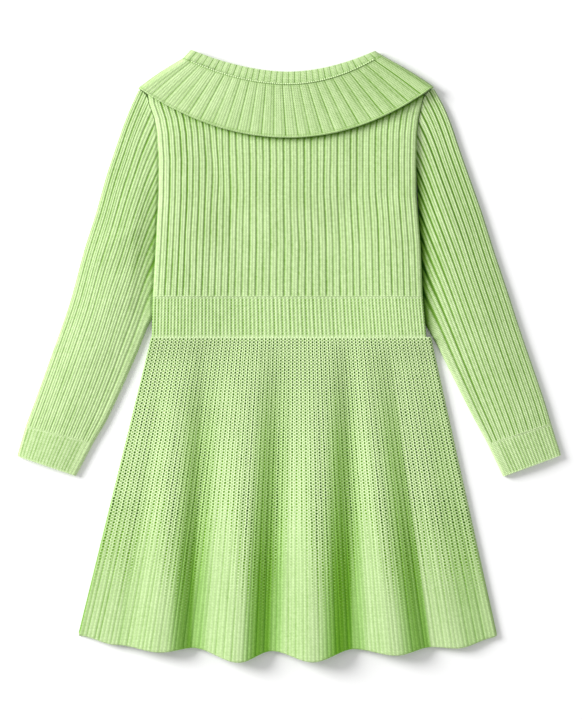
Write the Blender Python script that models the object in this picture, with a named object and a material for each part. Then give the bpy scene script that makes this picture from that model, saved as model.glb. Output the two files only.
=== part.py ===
"""A girl's knit dress laid flat on its front, with its back uppermost.

Every piece that a maker would knit and sew is one closed solid: a wall of cloth whose
outer points carry the ribs and whose inner points are plain. The panels lie on each other
and the sleeves are flattened tubes that pass a little way under the sides of the body.

The frame: +X to the right as the dress is seen from above, +Y towards its neck, +Z up.
The origin is in the middle of the dress, on the surface that it lies on. Sizes are in
millimetres. A place on the dress is given as x, from the centre line, and down, from the
top of the neckband.
"""

import math
from collections import namedtuple

import bmesh
import bpy

COLLECTION = "Knit dress"
MM = 0.001

# Lengths down the dress
LENGTH = 610.0
WAIST_TOP = 246.0
WAIST_BOTTOM = 286.0

# Cloth
CLOTH = 2.0           # wall between its plain inner face and the foot of its ribs
RIB = 1.0             # height of a wide rib
FINE_RIB = 0.7        # height of a fine rib
EDGE = 0.5            # wall left at a side seam, where a panel rounds off
SEAM = 0.3            # between two pieces that are sewn together
LAY = 0.5             # between two layers that lie on each other
AIR = 1.5             # how far the back stands off the front in the middle

# Ribs across one layer
BODICE_RIBS = 41
BODICE_SPREAD = -0.06     # ribs lie this share wider apart in the middle than on average
WAIST_RIBS = 75
WAIST_SPREAD = -0.10
SKIRT_RIBS = 84
COLLAR_RIBS = 24
NECK_RIBS = 32
SLEEVE_RIBS = 14
CUFF_RIBS = 20
GROOVE = 0.22             # share of a wide rib's pitch that each flank takes
ON_A_GROOVE = 0.01        # a column this share of a pitch from a groove lies in it

# Columns of the plain skins that carry no ribs, as shares of the width
PLAIN_SIDE = (0.0, 0.01, 0.03)       # closer together where a front panel rounds off
PLAIN_STEPS = 21
TUBE_UNDER = (0.0, 0.02, 0.06, 0.25, 0.5, 0.75, 0.94, 0.98, 1.0)
TUBE_INSIDE = (0.0, 0.015, 0.1, 0.25, 0.4, 0.55, 0.7, 0.85, 0.985, 1.0)
NEAR_FOLD = 0.0125        # a column this share of the width in from a fold rounds it

# Rows down each piece, as shares of its length
BODICE_ROWS = (0.0, 0.08, 0.18, 0.28, 0.4, 0.6, 0.8, 1.0)
WAIST_ROWS = (0.0, 0.5, 1.0)
SKIRT_ROWS = (0.0, 0.08, 0.2, 0.35, 0.5, 0.65, 0.8, 0.9, 1.0)
FRONT_SKIRT_ROWS = (0.0, 0.08, 0.2, 0.6, 1.0)
COLLAR_ROWS = (0.0, 0.25, 0.5, 0.75, 1.0)
NECKBAND_ROWS = (0.0, 0.5, 1.0)

# Neck, collar and shoulders. An arc is lowest on the centre line and climbs to each end.
Arc = namedtuple("Arc", "centre left_reach left_climb right_reach right_climb power")
NECK_TOP = Arc(20.3, 97.5, 20.3, 86.5, 19.3, 1.85)
NECK_SEAM = Arc(33.5, 103.0, 25.5, 92.0, 28.5, 1.95)
COLLAR_EDGE = Arc(87.5, 147.0, 49.5, 142.5, 51.0, 2.05)
FRONT_NECK_DROP = 35.0    # how much lower the hidden front neckline lies
SHOULDER_INSET = 8.0      # the body's shoulder line lies this far inside the collar's fold
COLLAR_MID = 5.5          # height of the collar's fold at the shoulders
COLLAR_FOLD = 5.0         # its outer radius
TIGHTEST_TURN = 0.8       # smallest radius inside a fold
COLLAR_STAND = 1.5        # how far the collar's free edge stands off the body
NECKBAND = 4.0            # thickness of the neckband, a strip folded double
NECKBAND_REST = 4.5       # height of its inner face at the back
NECKBAND_MID = 4.75       # height of its folds at the shoulders
NECKBAND_FOLD = 4.5       # and their outer radius
NECKBAND_FLANK = 0.8      # its thickness at its two edges, as a share of the middle's
NECKBAND_ROLL = (0.15, 0.85)         # the part of a half circle that it rounds through

# Body sides, as distances from the centre line
BodySide = namedtuple("BodySide", "down left right")
BODY_SIDES = (
    BodySide(41.0, 141.0, 135.7),
    BodySide(53.0, 139.3, 133.0),
    BodySide(68.0, 134.0, 129.7),
    BodySide(83.0, 131.2, 127.9),
    BodySide(109.0, 129.5, 127.2),
    BodySide(145.0, 130.0, 127.4),
    BodySide(193.0, 132.5, 131.5),
    BodySide(249.0, 135.7, 133.8),
    BodySide(286.0, 136.7, 137.4),
)
NECKLINE_PASSES = 6       # the width and the neckline depend on each other; this settles them

# Sleeves: each row crosses the sleeve from its outer edge to its inner one, and the first
# lies along the armhole. bow bends a row in towards the body, as the armhole seam does;
# crown is how high the middle of the sleeve stands over its two flat layers.
SleeveRow = namedtuple("SleeveRow", "outer outer_down inner inner_down bow crown")
LEFT_SLEEVE = (
    SleeveRow(149.2, 41.0, 124.7, 127.0, 0.0, 0.5),
    SleeveRow(157.2, 56.0, 124.2, 141.0, 3.6, 1.5),
    SleeveRow(164.7, 74.0, 123.7, 156.0, 1.6, 2.2),
    SleeveRow(172.7, 97.0, 123.7, 171.0, 0.4, 2.8),
    SleeveRow(181.7, 124.0, 123.7, 189.0, 0.0, 3.2),
    SleeveRow(192.7, 163.0, 123.7, 211.0, 0.0, 3.6),
    SleeveRow(204.7, 201.0, 125.7, 236.0, 0.0, 4.0),
    SleeveRow(217.7, 249.0, 138.2, 275.0, 0.0, 4.0),
    SleeveRow(228.7, 282.0, 153.0, 305.0, 0.0, 3.6),
    SleeveRow(252.7, 348.0, 182.5, 367.0, 0.0, 3.0),
    SleeveRow(262.7, 375.0, 197.0, 391.5, 0.0, 2.4),
)
RIGHT_SLEEVE = (
    SleeveRow(146.7, 39.0, 122.7, 126.0, 0.0, 0.5),
    SleeveRow(154.2, 56.0, 122.2, 141.0, 3.6, 1.5),
    SleeveRow(161.2, 74.0, 122.2, 156.0, 1.6, 2.2),
    SleeveRow(168.7, 97.0, 122.2, 171.0, 0.4, 2.8),
    SleeveRow(178.2, 124.0, 123.2, 189.0, 0.0, 3.2),
    SleeveRow(191.2, 161.0, 124.2, 211.0, 0.0, 3.6),
    SleeveRow(203.2, 199.0, 127.2, 236.0, 0.0, 4.0),
    SleeveRow(217.2, 241.0, 139.2, 274.0, 0.0, 4.0),
    SleeveRow(230.2, 281.0, 155.2, 301.0, 0.0, 3.6),
    SleeveRow(253.2, 348.0, 184.2, 362.0, 0.0, 3.0),
    SleeveRow(260.7, 372.0, 200.7, 392.0, 0.0, 2.4),
)
LEFT_CUFF_END = SleeveRow(270.5, 403.5, 213.2, 423.0, 0.0, 1.8)
RIGHT_CUFF_END = SleeveRow(270.5, 402.0, 215.2, 423.5, 0.0, 1.8)
SLEEVE_FLAT = 2.0 * CLOTH + 0.6      # both layers of a sleeve with a slit between them
SLEEVE_FOLD = 2.6                    # radius of a sleeve's folded edges
SLEEVE_LIFT = SLEEVE_FLAT + LAY      # how far a sleeve lifts the body's side
SWELL_REACH = 25.0                   # and swell to their full height this far out
SLEEVE_CLEAR = (0.8, 2.5)            # a sleeve's ribs start this far out from the body
ARMHOLE_CORNER = 0.13                # share of the armhole where it turns at the shoulder
ARMHOLE_TUCKS = 74.0                 # from here down it slips under the body's side
ARMHOLE_SEAM = 0.6                   # between the armhole and the body's side
FLAP_SHELF = 10.0                    # the front lies level this far past its collar
FLAP_RAMP = 24.0                     # and comes down to the surface over this length
LIFT_SHELF = 10.0                    # the body lies level this far in from its side
LIFT_RAMP = 30.0                     # and comes down to the surface over this width
LIFT_STARTS = (52.0, 88.0)           # the lift grows over this stretch down the dress
LIFT_ENDS = (281.0, 315.0)           # and dies out over this one

# Skirt. Its sides run straight from the waist to the corners of the hem. Each fold line is
# a valley or a crest that runs from the waist to the hem.
SKIRT_WAIST = (-137.7, 141.0)
SKIRT_HEM = (-209.7, 207.3)
FoldLine = namedtuple("FoldLine", "waist hem hem_down lift")
FOLD_LINES = (
    FoldLine(-137.7, -209.7, 583.0, 0.0),
    FoldLine(-125.0, -172.0, 593.5, 1.0),
    FoldLine(-106.0, -128.0, 600.5, 11.0),
    FoldLine(-82.0, -96.0, 596.5, 0.3),
    FoldLine(-32.0, -50.0, 609.5, 13.0),
    FoldLine(-8.0, -17.0, 599.7, 0.3),
    FoldLine(35.0, 24.0, 610.0, 14.0),
    FoldLine(59.0, 65.0, 597.7, 0.3),
    FoldLine(75.0, 107.0, 603.6, 12.0),
    FoldLine(99.0, 142.0, 595.8, 0.8),
    FoldLine(116.0, 168.0, 596.0, 6.0),
    FoldLine(141.0, 207.3, 583.5, 0.0),
)
FOLD_GROWTH = 0.75        # below 1 the folds open early, above 1 only near the hem
FRONT_HEM_SHORT = 4.0     # how much shorter the front lies than the back's valleys

# Material: one yarn throughout, a little lighter where the knit is smooth
GREEN = (0.49, 0.69, 0.29, 1.0)
PALE_GREEN = (0.53, 0.73, 0.33, 1.0)
KNIT_ROUGHNESS = 0.9


def smooth(t):
    """A soft step from 0 at t=0 to 1 at t=1."""
    t = min(1.0, max(0.0, t))
    return t * t * (3.0 - 2.0 * t)


def mix(a, b, t):
    return a + (b - a) * t


def round_off(distance, radius):
    """Quarter of an ellipse: 0 at an edge and 1 from one radius in."""
    s = min(1.0, max(0.0, distance / radius))
    return math.sqrt(1.0 - (1.0 - s) ** 2)


def spread(u, share):
    """Spaces columns wider or closer in the middle, keeping both ends."""
    return u + share * math.sin(2.0 * math.pi * u) / (2.0 * math.pi)


def arc_down(arc, x, drop=0.0):
    """How far down an arc lies at x. drop lowers its middle, not its ends."""
    reach, climb = arc.right_reach, arc.right_climb
    if x < 0.0:
        reach, climb = arc.left_reach, arc.left_climb
    return arc.centre + drop - (climb + drop) * (abs(x) / reach) ** arc.power


def arc_point(arc, u, drop=0.0):
    """The point at share u of an arc's width."""
    x = mix(-arc.left_reach, arc.right_reach, u)
    return x, arc_down(arc, x, drop)


def lookup(rows, down, column):
    """Reads a table with straight lines between its rows."""
    for above, below in zip(rows, rows[1:]):
        if down <= below.down:
            t = (down - above.down) / (below.down - above.down)
            return mix(getattr(above, column), getattr(below, column), max(0.0, t))
    return getattr(rows[-1], column)


# Heights of the layers ------------------------------------------------------------------


def shoulder_down(x):
    """The body's shoulder line, just inside the fold of the collar."""
    if x < 0.0:
        neck, tip = arc_point(NECK_SEAM, 0.0), arc_point(COLLAR_EDGE, 0.0)
    else:
        neck, tip = arc_point(NECK_SEAM, 1.0), arc_point(COLLAR_EDGE, 1.0)
    slope = (tip[1] - neck[1]) / abs(tip[0] - neck[0])
    inset = SHOULDER_INSET * math.hypot(1.0, slope)
    return neck[1] + slope * (abs(x) - abs(neck[0])) + inset


def side_at(x, down):
    """Distance from the centre line to the body's side, on the side where x is."""
    column = "left" if x < 0.0 else "right"
    if down <= WAIST_BOTTOM:
        return lookup(BODY_SIDES, down, column)
    end = 0 if x < 0.0 else 1
    t = (down - WAIST_BOTTOM) / (FOLD_LINES[0].hem_down - WAIST_BOTTOM)
    return abs(mix(SKIRT_WAIST[end], SKIRT_HEM[end], t))


def under_body(x, down):
    """Height of the underside of the front: it passes over its collar and the sleeves."""
    flap = arc_down(COLLAR_EDGE, x, FRONT_NECK_DROP) + FLAP_SHELF
    over_collar = (CLOTH + LAY) * (1.0 - smooth((down - flap) / FLAP_RAMP))
    inward = side_at(x, down) - abs(x) - LIFT_SHELF
    along = smooth((down - LIFT_STARTS[0]) / (LIFT_STARTS[1] - LIFT_STARTS[0]))
    along *= 1.0 - smooth((down - LIFT_ENDS[0]) / (LIFT_ENDS[1] - LIFT_ENDS[0]))
    over_sleeve = SLEEVE_LIFT * along * (1.0 - smooth(inward / LIFT_RAMP))
    return max(over_collar, over_sleeve)


def back_rest(x, down):
    """Height of the inner face of the back, flat parts and gentle swell only."""
    across = min(1.0, abs(x) / side_at(x, down))
    return under_body(x, down) + CLOTH + LAY + AIR * (1.0 - across ** 2)


def fold_value(x, v, column):
    """Reads the fold lines at x, v of the way down the skirt, with soft turns."""
    places = [mix(line.waist, line.hem, v) for line in FOLD_LINES]
    for i in range(len(places) - 1):
        if x <= places[i + 1] or i == len(places) - 2:
            t = smooth((x - places[i]) / (places[i + 1] - places[i]))
            return mix(
                getattr(FOLD_LINES[i], column), getattr(FOLD_LINES[i + 1], column), t
            )
    return 0.0


# Walls ----------------------------------------------------------------------------------


def rib_columns(ribs, flank=GROOVE):
    """Column places for wide ribs: a groove, then both shoulders of each ridge."""
    columns = []
    for rib in range(ribs):
        for share in (0.0, flank, 1.0 - flank):
            columns.append((rib + share) / ribs)
    return columns + [1.0]


def fine_columns(ribs):
    """Column places for fine ribs: a groove and a ridge each."""
    return [half / (2.0 * ribs) for half in range(2 * ribs + 1)]


def even_columns(count):
    return [i / count for i in range(count + 1)]


def ring_columns():
    """Plain columns that the collar and the neckband share, closer at the folds."""
    return [0.0, NEAR_FOLD] + even_columns(COLLAR_RIBS)[1:-1] + [1.0 - NEAR_FOLD, 1.0]


def ridge(u, ribs):
    """1 on a ridge and 0 in the grooves between two ribs."""
    from_groove = abs(u * ribs - round(u * ribs))
    return 0.0 if from_groove < ON_A_GROOVE else 1.0


def skin(bm, columns, rows, place, closed):
    """One face of a wall, as a grid whose points are set by place(column, row)."""
    steps = len(columns) if closed else len(columns) - 1
    grid = bmesh.ops.create_grid(bm, x_segments=steps, y_segments=len(rows) - 1, size=1.0)
    points = {}
    for vert in grid["verts"]:
        i = round((vert.co.x + 1.0) * 0.5 * steps)
        j = round((vert.co.y + 1.0) * 0.5 * (len(rows) - 1))
        x, down, z = place(columns[i % len(columns)], rows[j])
        vert.co = (x * MM, (LENGTH * 0.5 - down) * MM, z * MM)
        points[i, j] = vert
    if closed:
        targetmap = {points[steps, j]: points[0, j] for j in range(len(rows))}
        bmesh.ops.weld_verts(bm, targetmap=targetmap)
    return [[points[i, j] for i in range(len(columns))] for j in range(len(rows))]


def lace(bm, first, first_at, second, second_at):
    """Fills between two edges with unlike numbers of points, in step with their places."""
    i = j = 0
    while i < len(first) - 1 or j < len(second) - 1:
        next_first = first_at[i + 1] if i < len(first) - 1 else math.inf
        next_second = second_at[j + 1] if j < len(second) - 1 else math.inf
        if abs(next_first - next_second) < 1e-6:
            bm.faces.new((first[i], first[i + 1], second[j + 1], second[j]))
            i += 1
            j += 1
        elif next_first < next_second:
            bm.faces.new((first[i], first[i + 1], second[j]))
            i += 1
        else:
            bm.faces.new((first[i], second[j + 1], second[j]))
            j += 1


def wall(name, material, outer, inner, rows, place, closed=False):
    """A closed solid between an outer and an inner skin.

    outer and inner are the columns of each skin, rows the rows that both share, and
    place(side, column, row) gives x, down and height, where side is "outer" or "inner".
    The columns of a closed wall run from 0 to 2, right round it.
    """
    bm = bmesh.new()
    grids = {}
    for side, columns in (("outer", outer), ("inner", inner)):
        grids[side] = skin(
            bm, columns, rows, lambda u, v, s=side: place(s, u, v), closed
        )
    wrap = [2.0] if closed else []
    for j in (0, len(rows) - 1):
        edges = []
        for side, columns in (("outer", outer), ("inner", inner)):
            loop = grids[side][j]
            edges += [loop + loop[:1] if closed else loop, columns + wrap]
        lace(bm, *edges)
    if not closed:
        for i in (0, -1):
            pair = [[row[i] for row in grids[side]] for side in ("outer", "inner")]
            lace(bm, pair[0], rows, pair[1], rows)
    bmesh.ops.recalc_face_normals(bm, faces=bm.faces)
    mesh = bpy.data.meshes.new(name)
    bm.to_mesh(mesh)
    bm.free()
    mesh.shade_smooth()
    mesh.set_sharp_from_angle(angle=math.radians(50.0))
    mesh.materials.append(material)
    piece = bpy.data.objects.new(name, mesh)
    bpy.data.collections[COLLECTION].objects.link(piece)
    return piece


def both_layers(upper, lower):
    """Columns right round a flattened tube: 0 to 1 on top, 1 to 2 back underneath."""
    return upper + [2.0 - u for u in reversed(lower[1:-1])]


# Pieces ---------------------------------------------------------------------------------


def between_sides(across, down):
    """x at share across of the body's width."""
    left = lookup(BODY_SIDES, down, "left")
    right = lookup(BODY_SIDES, down, "right")
    return mix(-left, right, across)


def bodice_plan(u, v, neck_drop=0.0):
    """Plan of the bodice: from the neckline and shoulders down to the waist seam."""
    across = spread(u, BODICE_SPREAD)
    starts = BODY_SIDES[0].down
    for _ in range(NECKLINE_PASSES):
        x = between_sides(across, starts)
        starts = max(arc_down(NECK_SEAM, x, neck_drop) + SEAM, shoulder_down(x))
    down = mix(starts, WAIST_TOP - SEAM * 0.5, v)
    return between_sides(across, down), down


def waist_plan(u, v):
    """Plan of the waistband."""
    down = mix(WAIST_TOP + SEAM * 0.5, WAIST_BOTTOM - SEAM * 0.5, v)
    return between_sides(spread(u, WAIST_SPREAD), down), down


def skirt_plan(u, v):
    """Plan of the back skirt, which ends in the waved line of the hem."""
    x = mix(mix(*SKIRT_WAIST, u), mix(*SKIRT_HEM, u), v)
    hem_down = fold_value(mix(*SKIRT_HEM, u), 1.0, "hem_down")
    return x, mix(WAIST_BOTTOM + SEAM * 0.5, hem_down, v)


def front_skirt_plan(u, v):
    """Plan of the front skirt, whose hem is an even arc a little shorter."""
    x = mix(mix(*SKIRT_WAIST, u), mix(*SKIRT_HEM, u), v)
    valleys = (line.hem_down for line in FOLD_LINES[2:-2])
    middle = min(valleys) - FRONT_HEM_SHORT
    corner = FOLD_LINES[0].hem_down
    hem_down = mix(corner, middle, 1.0 - (2.0 * u - 1.0) ** 2)
    return x, mix(WAIST_BOTTOM + SEAM * 0.5, hem_down, v)


def back_panel(name, material, plan, rows, ribs, columns, inner, height, folds=False):
    """A back panel: plain inside, ribs outside, rounded off along its side seams."""

    def place(side, u, v):
        x, down = plan(u, v)
        z = back_rest(x, down)
        if folds:
            z += fold_value(x, v, "lift") * v ** FOLD_GROWTH
        if side == "inner":
            return x, down, z
        if u in (0.0, 1.0):
            return x, down, z + EDGE
        return x, down, z + CLOTH + height * ridge(u, ribs)

    return wall(name, material, columns, inner, rows, place)


def front_panel(name, material, plan, rows, columns):
    """A hidden front panel: its outer face is underneath, plain and flat."""

    def place(side, u, v):
        x, down = plan(u, v)
        z = under_body(x, down)
        if side == "inner":
            return x, down, z + CLOTH
        return x, down, z + CLOTH - EDGE if u in (0.0, 1.0) else z

    return wall(name, material, columns, columns, rows, place)


def lens(side, lower_layer, distance, fold, middle, top, bottom, cloth):
    """Height on a folded-over layer of cloth, at a distance from its folded edge.

    middle is the height of the fold, top and bottom the outer faces away from it.
    """
    if side == "outer":
        turn = round_off(distance, fold)
        return mix(middle, bottom if lower_layer else top, turn)
    turn = round_off(distance - cloth, max(TIGHTEST_TURN, fold - cloth))
    return mix(middle, bottom + cloth if lower_layer else top - cloth, turn)


def from_line(point, start, end):
    """Distance of a point from the line through start and end."""
    along = (end[0] - start[0], end[1] - start[1])
    across = (point[0] - start[0]) * along[1] - (point[1] - start[1]) * along[0]
    return abs(across) / math.hypot(*along)


def folded_ring(name, material, plan, rows, outer, inner, heights, fold, middle, cloth):
    """A ring of cloth laid flat: its back on top, its front below, folded at both ends.

    plan(u, v, lower) gives x and down; heights(u, v, x, down) gives the top of the back
    layer's foot and the ribs on it.
    """

    def place(side, t, v):
        lower = t > 1.0
        u = 2.0 - t if lower else t
        width = math.dist(plan(0.0, v, lower), plan(1.0, v, lower))
        if side == "inner":
            u = mix(cloth / width, 1.0 - cloth / width, u)
        x, down = plan(u, v, lower)
        ends = ((plan(end, 0.0, lower), plan(end, 1.0, lower)) for end in (0.0, 1.0))
        distance = min(from_line((x, down), *end) for end in ends)
        foot, ribs = heights(u, v, x, down)
        z = lens(side, lower, distance, fold, middle, foot, 0.0, cloth)
        if side == "outer" and not lower:
            z += ribs * round_off(distance, fold)
        return x, down, z

    return wall(name, material, outer, inner, rows, place, closed=True)


def collar(material):
    """The cape collar: its back lies on the bodice, its front under it."""

    def plan(u, v, lower):
        drop = FRONT_NECK_DROP if lower else 0.0
        seam = arc_point(NECK_SEAM, u, drop)
        edge = arc_point(COLLAR_EDGE, u, drop)
        return mix(seam[0], edge[0], v), mix(seam[1] + SEAM * 0.5, edge[1], v)

    def heights(u, v, x, down):
        foot = back_rest(x, down) + CLOTH + RIB + LAY + CLOTH + COLLAR_STAND * v ** 3
        return foot, RIB * ridge(u, COLLAR_RIBS)

    upper = rib_columns(COLLAR_RIBS)
    plain = ring_columns()
    return folded_ring(
        "collar", material, plan, COLLAR_ROWS, both_layers(upper, plain),
        both_layers(plain, plain), heights, COLLAR_FOLD, COLLAR_MID, CLOTH,
    )


def neckband(material):
    """The folded strip that stands round the neck opening."""

    def plan(u, v, lower):
        drop = FRONT_NECK_DROP if lower else 0.0
        top = arc_point(NECK_TOP, u, drop)
        seam = arc_point(NECK_SEAM, u, drop)
        return mix(top[0], seam[0], v), mix(top[1], seam[1] - SEAM, v)

    def heights(u, v, x, down):
        roll = math.sin(math.pi * mix(*NECKBAND_ROLL, v))
        thickness = NECKBAND * mix(NECKBAND_FLANK, 1.0, roll)
        return NECKBAND_REST + thickness, RIB * ridge(u, NECK_RIBS)

    upper = fine_columns(NECK_RIBS)
    plain = ring_columns()
    cloth = NECKBAND * NECKBAND_FLANK
    return folded_ring(
        "neckband", material, plan, NECKBAND_ROWS, both_layers(upper, plain),
        both_layers(plain, plain), heights, NECKBAND_FOLD, NECKBAND_MID, cloth,
    )


def armhole_reach(row, sign, u, down):
    """How far out the armhole lies: along the body's side, then a little under it."""
    seam = side_at(sign, down) + ARMHOLE_SEAM
    shoulder = (row.outer - seam) * (1.0 - round_off(u, ARMHOLE_CORNER))
    tuck = smooth((down - ARMHOLE_TUCKS) / (row.inner_down - ARMHOLE_TUCKS))
    return seam + shoulder - (seam - row.inner) * tuck


def tube(name, material, table, sign, ribs, columns, height, armhole=False):
    """A sleeve or a cuff: a tube of cloth lying flat, open at both ends.

    sign is -1 on the left and 1 on the right. A sleeve starts with its armhole and ends
    at the seam where its cuff starts.
    """
    count = len(table) - 1

    def row_plan(index, u):
        row = table[index]
        down = mix(row.outer_down, row.inner_down, u)
        if index == 0 and armhole:
            return sign * armhole_reach(row, sign, u, down), down
        bend = row.bow * math.sin(math.pi * math.sqrt(u))
        return sign * (mix(row.outer, row.inner, u) - bend), down

    def place(side, t, v):
        index = round(v * count)
        row = table[index]
        lower = t > 1.0
        u = 2.0 - t if lower else t
        width = math.dist(row_plan(index, 0.0), row_plan(index, 1.0))
        if side == "inner":
            u = mix(CLOTH / width, 1.0 - CLOTH / width, u)
        x, down = row_plan(index, u)
        if index == 0 and not armhole:
            down += SEAM * 0.5
        if index == count and armhole:
            down -= SEAM * 0.5
        distance = min(u, 1.0 - u) * width
        out = abs(x) - side_at(x, down)
        top = SLEEVE_FLAT + row.crown * math.sin(math.pi * u) * smooth(out / SWELL_REACH)
        z = lens(side, lower, distance, SLEEVE_FOLD, SLEEVE_FLAT * 0.5, top, 0.0, CLOTH)
        if side == "outer" and not lower:
            bare = smooth((out - SLEEVE_CLEAR[0]) / (SLEEVE_CLEAR[1] - SLEEVE_CLEAR[0]))
            z += height * ridge(u, ribs) * round_off(distance, SLEEVE_FOLD) * bare
        return x, down, z

    outer = both_layers(columns, list(TUBE_UNDER))
    inner = both_layers(list(TUBE_INSIDE), list(TUBE_INSIDE))
    return wall(name, material, outer, inner, even_columns(count), place, closed=True)


def knit_material(name, colour):
    material = bpy.data.materials.new(name)
    material.use_nodes = True
    shader = material.node_tree.nodes["Principled BSDF"]
    shader.inputs["Base Color"].default_value = colour
    shader.inputs["Roughness"].default_value = KNIT_ROUGHNESS
    shader.inputs["Metallic"].default_value = 0.0
    material.diffuse_color = colour
    return material


def build():
    for thing in list(bpy.data.objects):
        bpy.data.objects.remove(thing, do_unlink=True)
    dress = bpy.data.collections.new(COLLECTION)
    bpy.context.scene.collection.children.link(dress)

    wide = rib_columns(BODICE_RIBS)
    every_rib = even_columns(BODICE_RIBS)
    far_side = [1.0 - u for u in reversed(PLAIN_SIDE)]
    plain = [*PLAIN_SIDE, *even_columns(PLAIN_STEPS)[1:-1], *far_side]
    waist_inner = even_columns(WAIST_RIBS // 3)
    skirt_inner = even_columns(SKIRT_RIBS // 2)

    back_panel(
        "back_bodice", knit_material("Wide rib knit, back bodice", GREEN), bodice_plan,
        BODICE_ROWS, BODICE_RIBS, wide, every_rib, RIB,
    )
    back_panel(
        "back_waistband", knit_material("Fine rib knit, back waistband", GREEN),
        waist_plan, WAIST_ROWS, WAIST_RIBS, fine_columns(WAIST_RIBS), waist_inner,
        FINE_RIB,
    )
    back_panel(
        "back_skirt", knit_material("Mesh knit, back skirt", GREEN), skirt_plan,
        SKIRT_ROWS, SKIRT_RIBS, fine_columns(SKIRT_RIBS), skirt_inner, FINE_RIB, folds=True,
    )
    front_panel(
        "front_bodice", knit_material("Wide rib knit, front bodice", GREEN),
        lambda u, v: bodice_plan(u, v, neck_drop=FRONT_NECK_DROP), BODICE_ROWS, every_rib,
    )
    front_panel(
        "front_waistband", knit_material("Fine rib knit, front waistband", GREEN),
        waist_plan, WAIST_ROWS, plain,
    )
    front_panel(
        "front_skirt", knit_material("Mesh knit, front skirt", GREEN), front_skirt_plan,
        FRONT_SKIRT_ROWS, plain,
    )
    collar(knit_material("Wide flat rib knit, collar", PALE_GREEN))
    neckband(knit_material("Rib knit, neckband", GREEN))
    sides = (
        ("left", -1.0, LEFT_SLEEVE, LEFT_CUFF_END),
        ("right", 1.0, RIGHT_SLEEVE, RIGHT_CUFF_END),
    )
    for side, sign, sleeve, cuff_end in sides:
        tube(
            f"sleeve_{side}", knit_material(f"Wide rib knit, {side} sleeve", PALE_GREEN),
            sleeve, sign, SLEEVE_RIBS, rib_columns(SLEEVE_RIBS), RIB, armhole=True,
        )
        tube(
            f"cuff_{side}", knit_material(f"Fine rib knit, {side} cuff", PALE_GREEN),
            (sleeve[-1], cuff_end), sign, CUFF_RIBS, fine_columns(CUFF_RIBS), FINE_RIB,
        )


build()
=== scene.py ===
"""A girl's light green knit dress, laid flat on its front with its back uppermost.

Each piece that a maker would knit is a thin closed wall of cloth in the form of its solid.
Its outer face carries the ribs, and its material the stitches that are too fine to model.
A place on the dress is given in millimetres as x, from the centre line, and down, from the
top of the neckband. One knitted wale or rib is one unit of u in the UV map, and one course
of stitches is one unit of v.
"""

import logging
import math
from dataclasses import dataclass, field
from enum import Enum
from functools import partial
from typing import Callable, NamedTuple, Sequence

import bmesh
import bpy
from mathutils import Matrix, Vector


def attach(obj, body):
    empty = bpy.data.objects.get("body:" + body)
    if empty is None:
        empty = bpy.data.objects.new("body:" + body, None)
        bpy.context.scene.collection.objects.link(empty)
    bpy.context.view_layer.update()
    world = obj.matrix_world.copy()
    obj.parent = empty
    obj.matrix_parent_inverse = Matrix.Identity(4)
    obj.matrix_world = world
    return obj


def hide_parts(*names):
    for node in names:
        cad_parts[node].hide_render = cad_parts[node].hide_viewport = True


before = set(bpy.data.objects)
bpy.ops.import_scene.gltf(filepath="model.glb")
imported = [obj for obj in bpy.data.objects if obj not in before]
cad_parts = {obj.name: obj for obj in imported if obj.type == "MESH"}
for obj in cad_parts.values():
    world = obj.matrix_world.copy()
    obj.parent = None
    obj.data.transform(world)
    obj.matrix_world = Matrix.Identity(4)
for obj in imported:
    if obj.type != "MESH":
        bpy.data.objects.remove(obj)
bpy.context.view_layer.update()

MM = 0.001
LOG = logging.getLogger("knit_dress")
UV_NAME = "Knit"
# groove holds painted shade, openwork how open the mesh is, and fold the painted green of light
# that has come through other cloth.
PAINTED_SHADE_NAME = "groove"
OPEN_NAME = "openwork"
FOLD_SHADE_NAME = "fold"
PLACE_NAMES = ("across", "along")


# Small sums ------------------------------------------------------------------------------


def smooth(t: float) -> float:
    """Gives a soft step from 0 at t=0 to 1 at t=1.

    Args:
        t: Any number.

    Returns:
        The step's height, from 0 to 1.
    """
    t = min(1.0, max(0.0, t))
    return t * t * (3.0 - 2.0 * t)


def ramp(value: float, start: float, end: float) -> float:
    """Returns a soft step from 0 where value is at start to 1 where it is at end."""
    return smooth((value - start) / (end - start))


def mix(a: float, b: float, t: float) -> float:
    """Returns the number that lies share t of the way from a to b."""
    return a + (b - a) * t


def round_off(distance: float, radius: float) -> float:
    """Gives a quarter of an ellipse: 0 at an edge and 1 from one radius in.

    Args:
        distance: How far in from the edge.
        radius: How far in the cloth has its full height.

    Returns:
        The share of the full height.
    """
    s = min(1.0, max(0.0, distance / radius))
    return math.sqrt(1.0 - (1.0 - s) ** 2)


def spread(u: float, share: float) -> float:
    """Spaces columns wider or closer in the middle, keeping both ends.

    Args:
        u: Share of the width.
        share: How much closer the middle is than the average.

    Returns:
        The new share of the width.
    """
    return u + share * math.sin(2.0 * math.pi * u) / (2.0 * math.pi)


def read_off(line: Sequence[tuple[float, float]], place: float) -> float:
    """Reads a smooth line through stations.

    Args:
        line: Places and the values there, in order.
        place: Where to read; beyond an end the end's value holds.

    Returns:
        The value there.
    """
    last = len(line) - 2
    i = next((k for k in range(last) if place <= line[k + 1][0]), last)
    a, b, c, d = line[max(0, i - 1)], line[i], line[i + 1], line[min(last + 1, i + 2)]
    span = c[0] - b[0]
    t = min(1.0, max(0.0, (place - b[0]) / span))
    slope_b = (c[1] - a[1]) / (c[0] - a[0]) * span
    slope_c = (d[1] - b[1]) / (d[0] - b[0]) * span
    t2, t3 = t * t, t * t * t
    return (
        (2.0 * t3 - 3.0 * t2 + 1.0) * b[1] + (t3 - 2.0 * t2 + t) * slope_b
        + (3.0 * t2 - 2.0 * t3) * c[1] + (t3 - t2) * slope_c
    )


def even(count: int) -> list[float]:
    """Returns count + 1 evenly spaced shares from 0 to 1."""
    return [i / count for i in range(count + 1)]


# The cut and the lie of the dress --------------------------------------------------------


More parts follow.
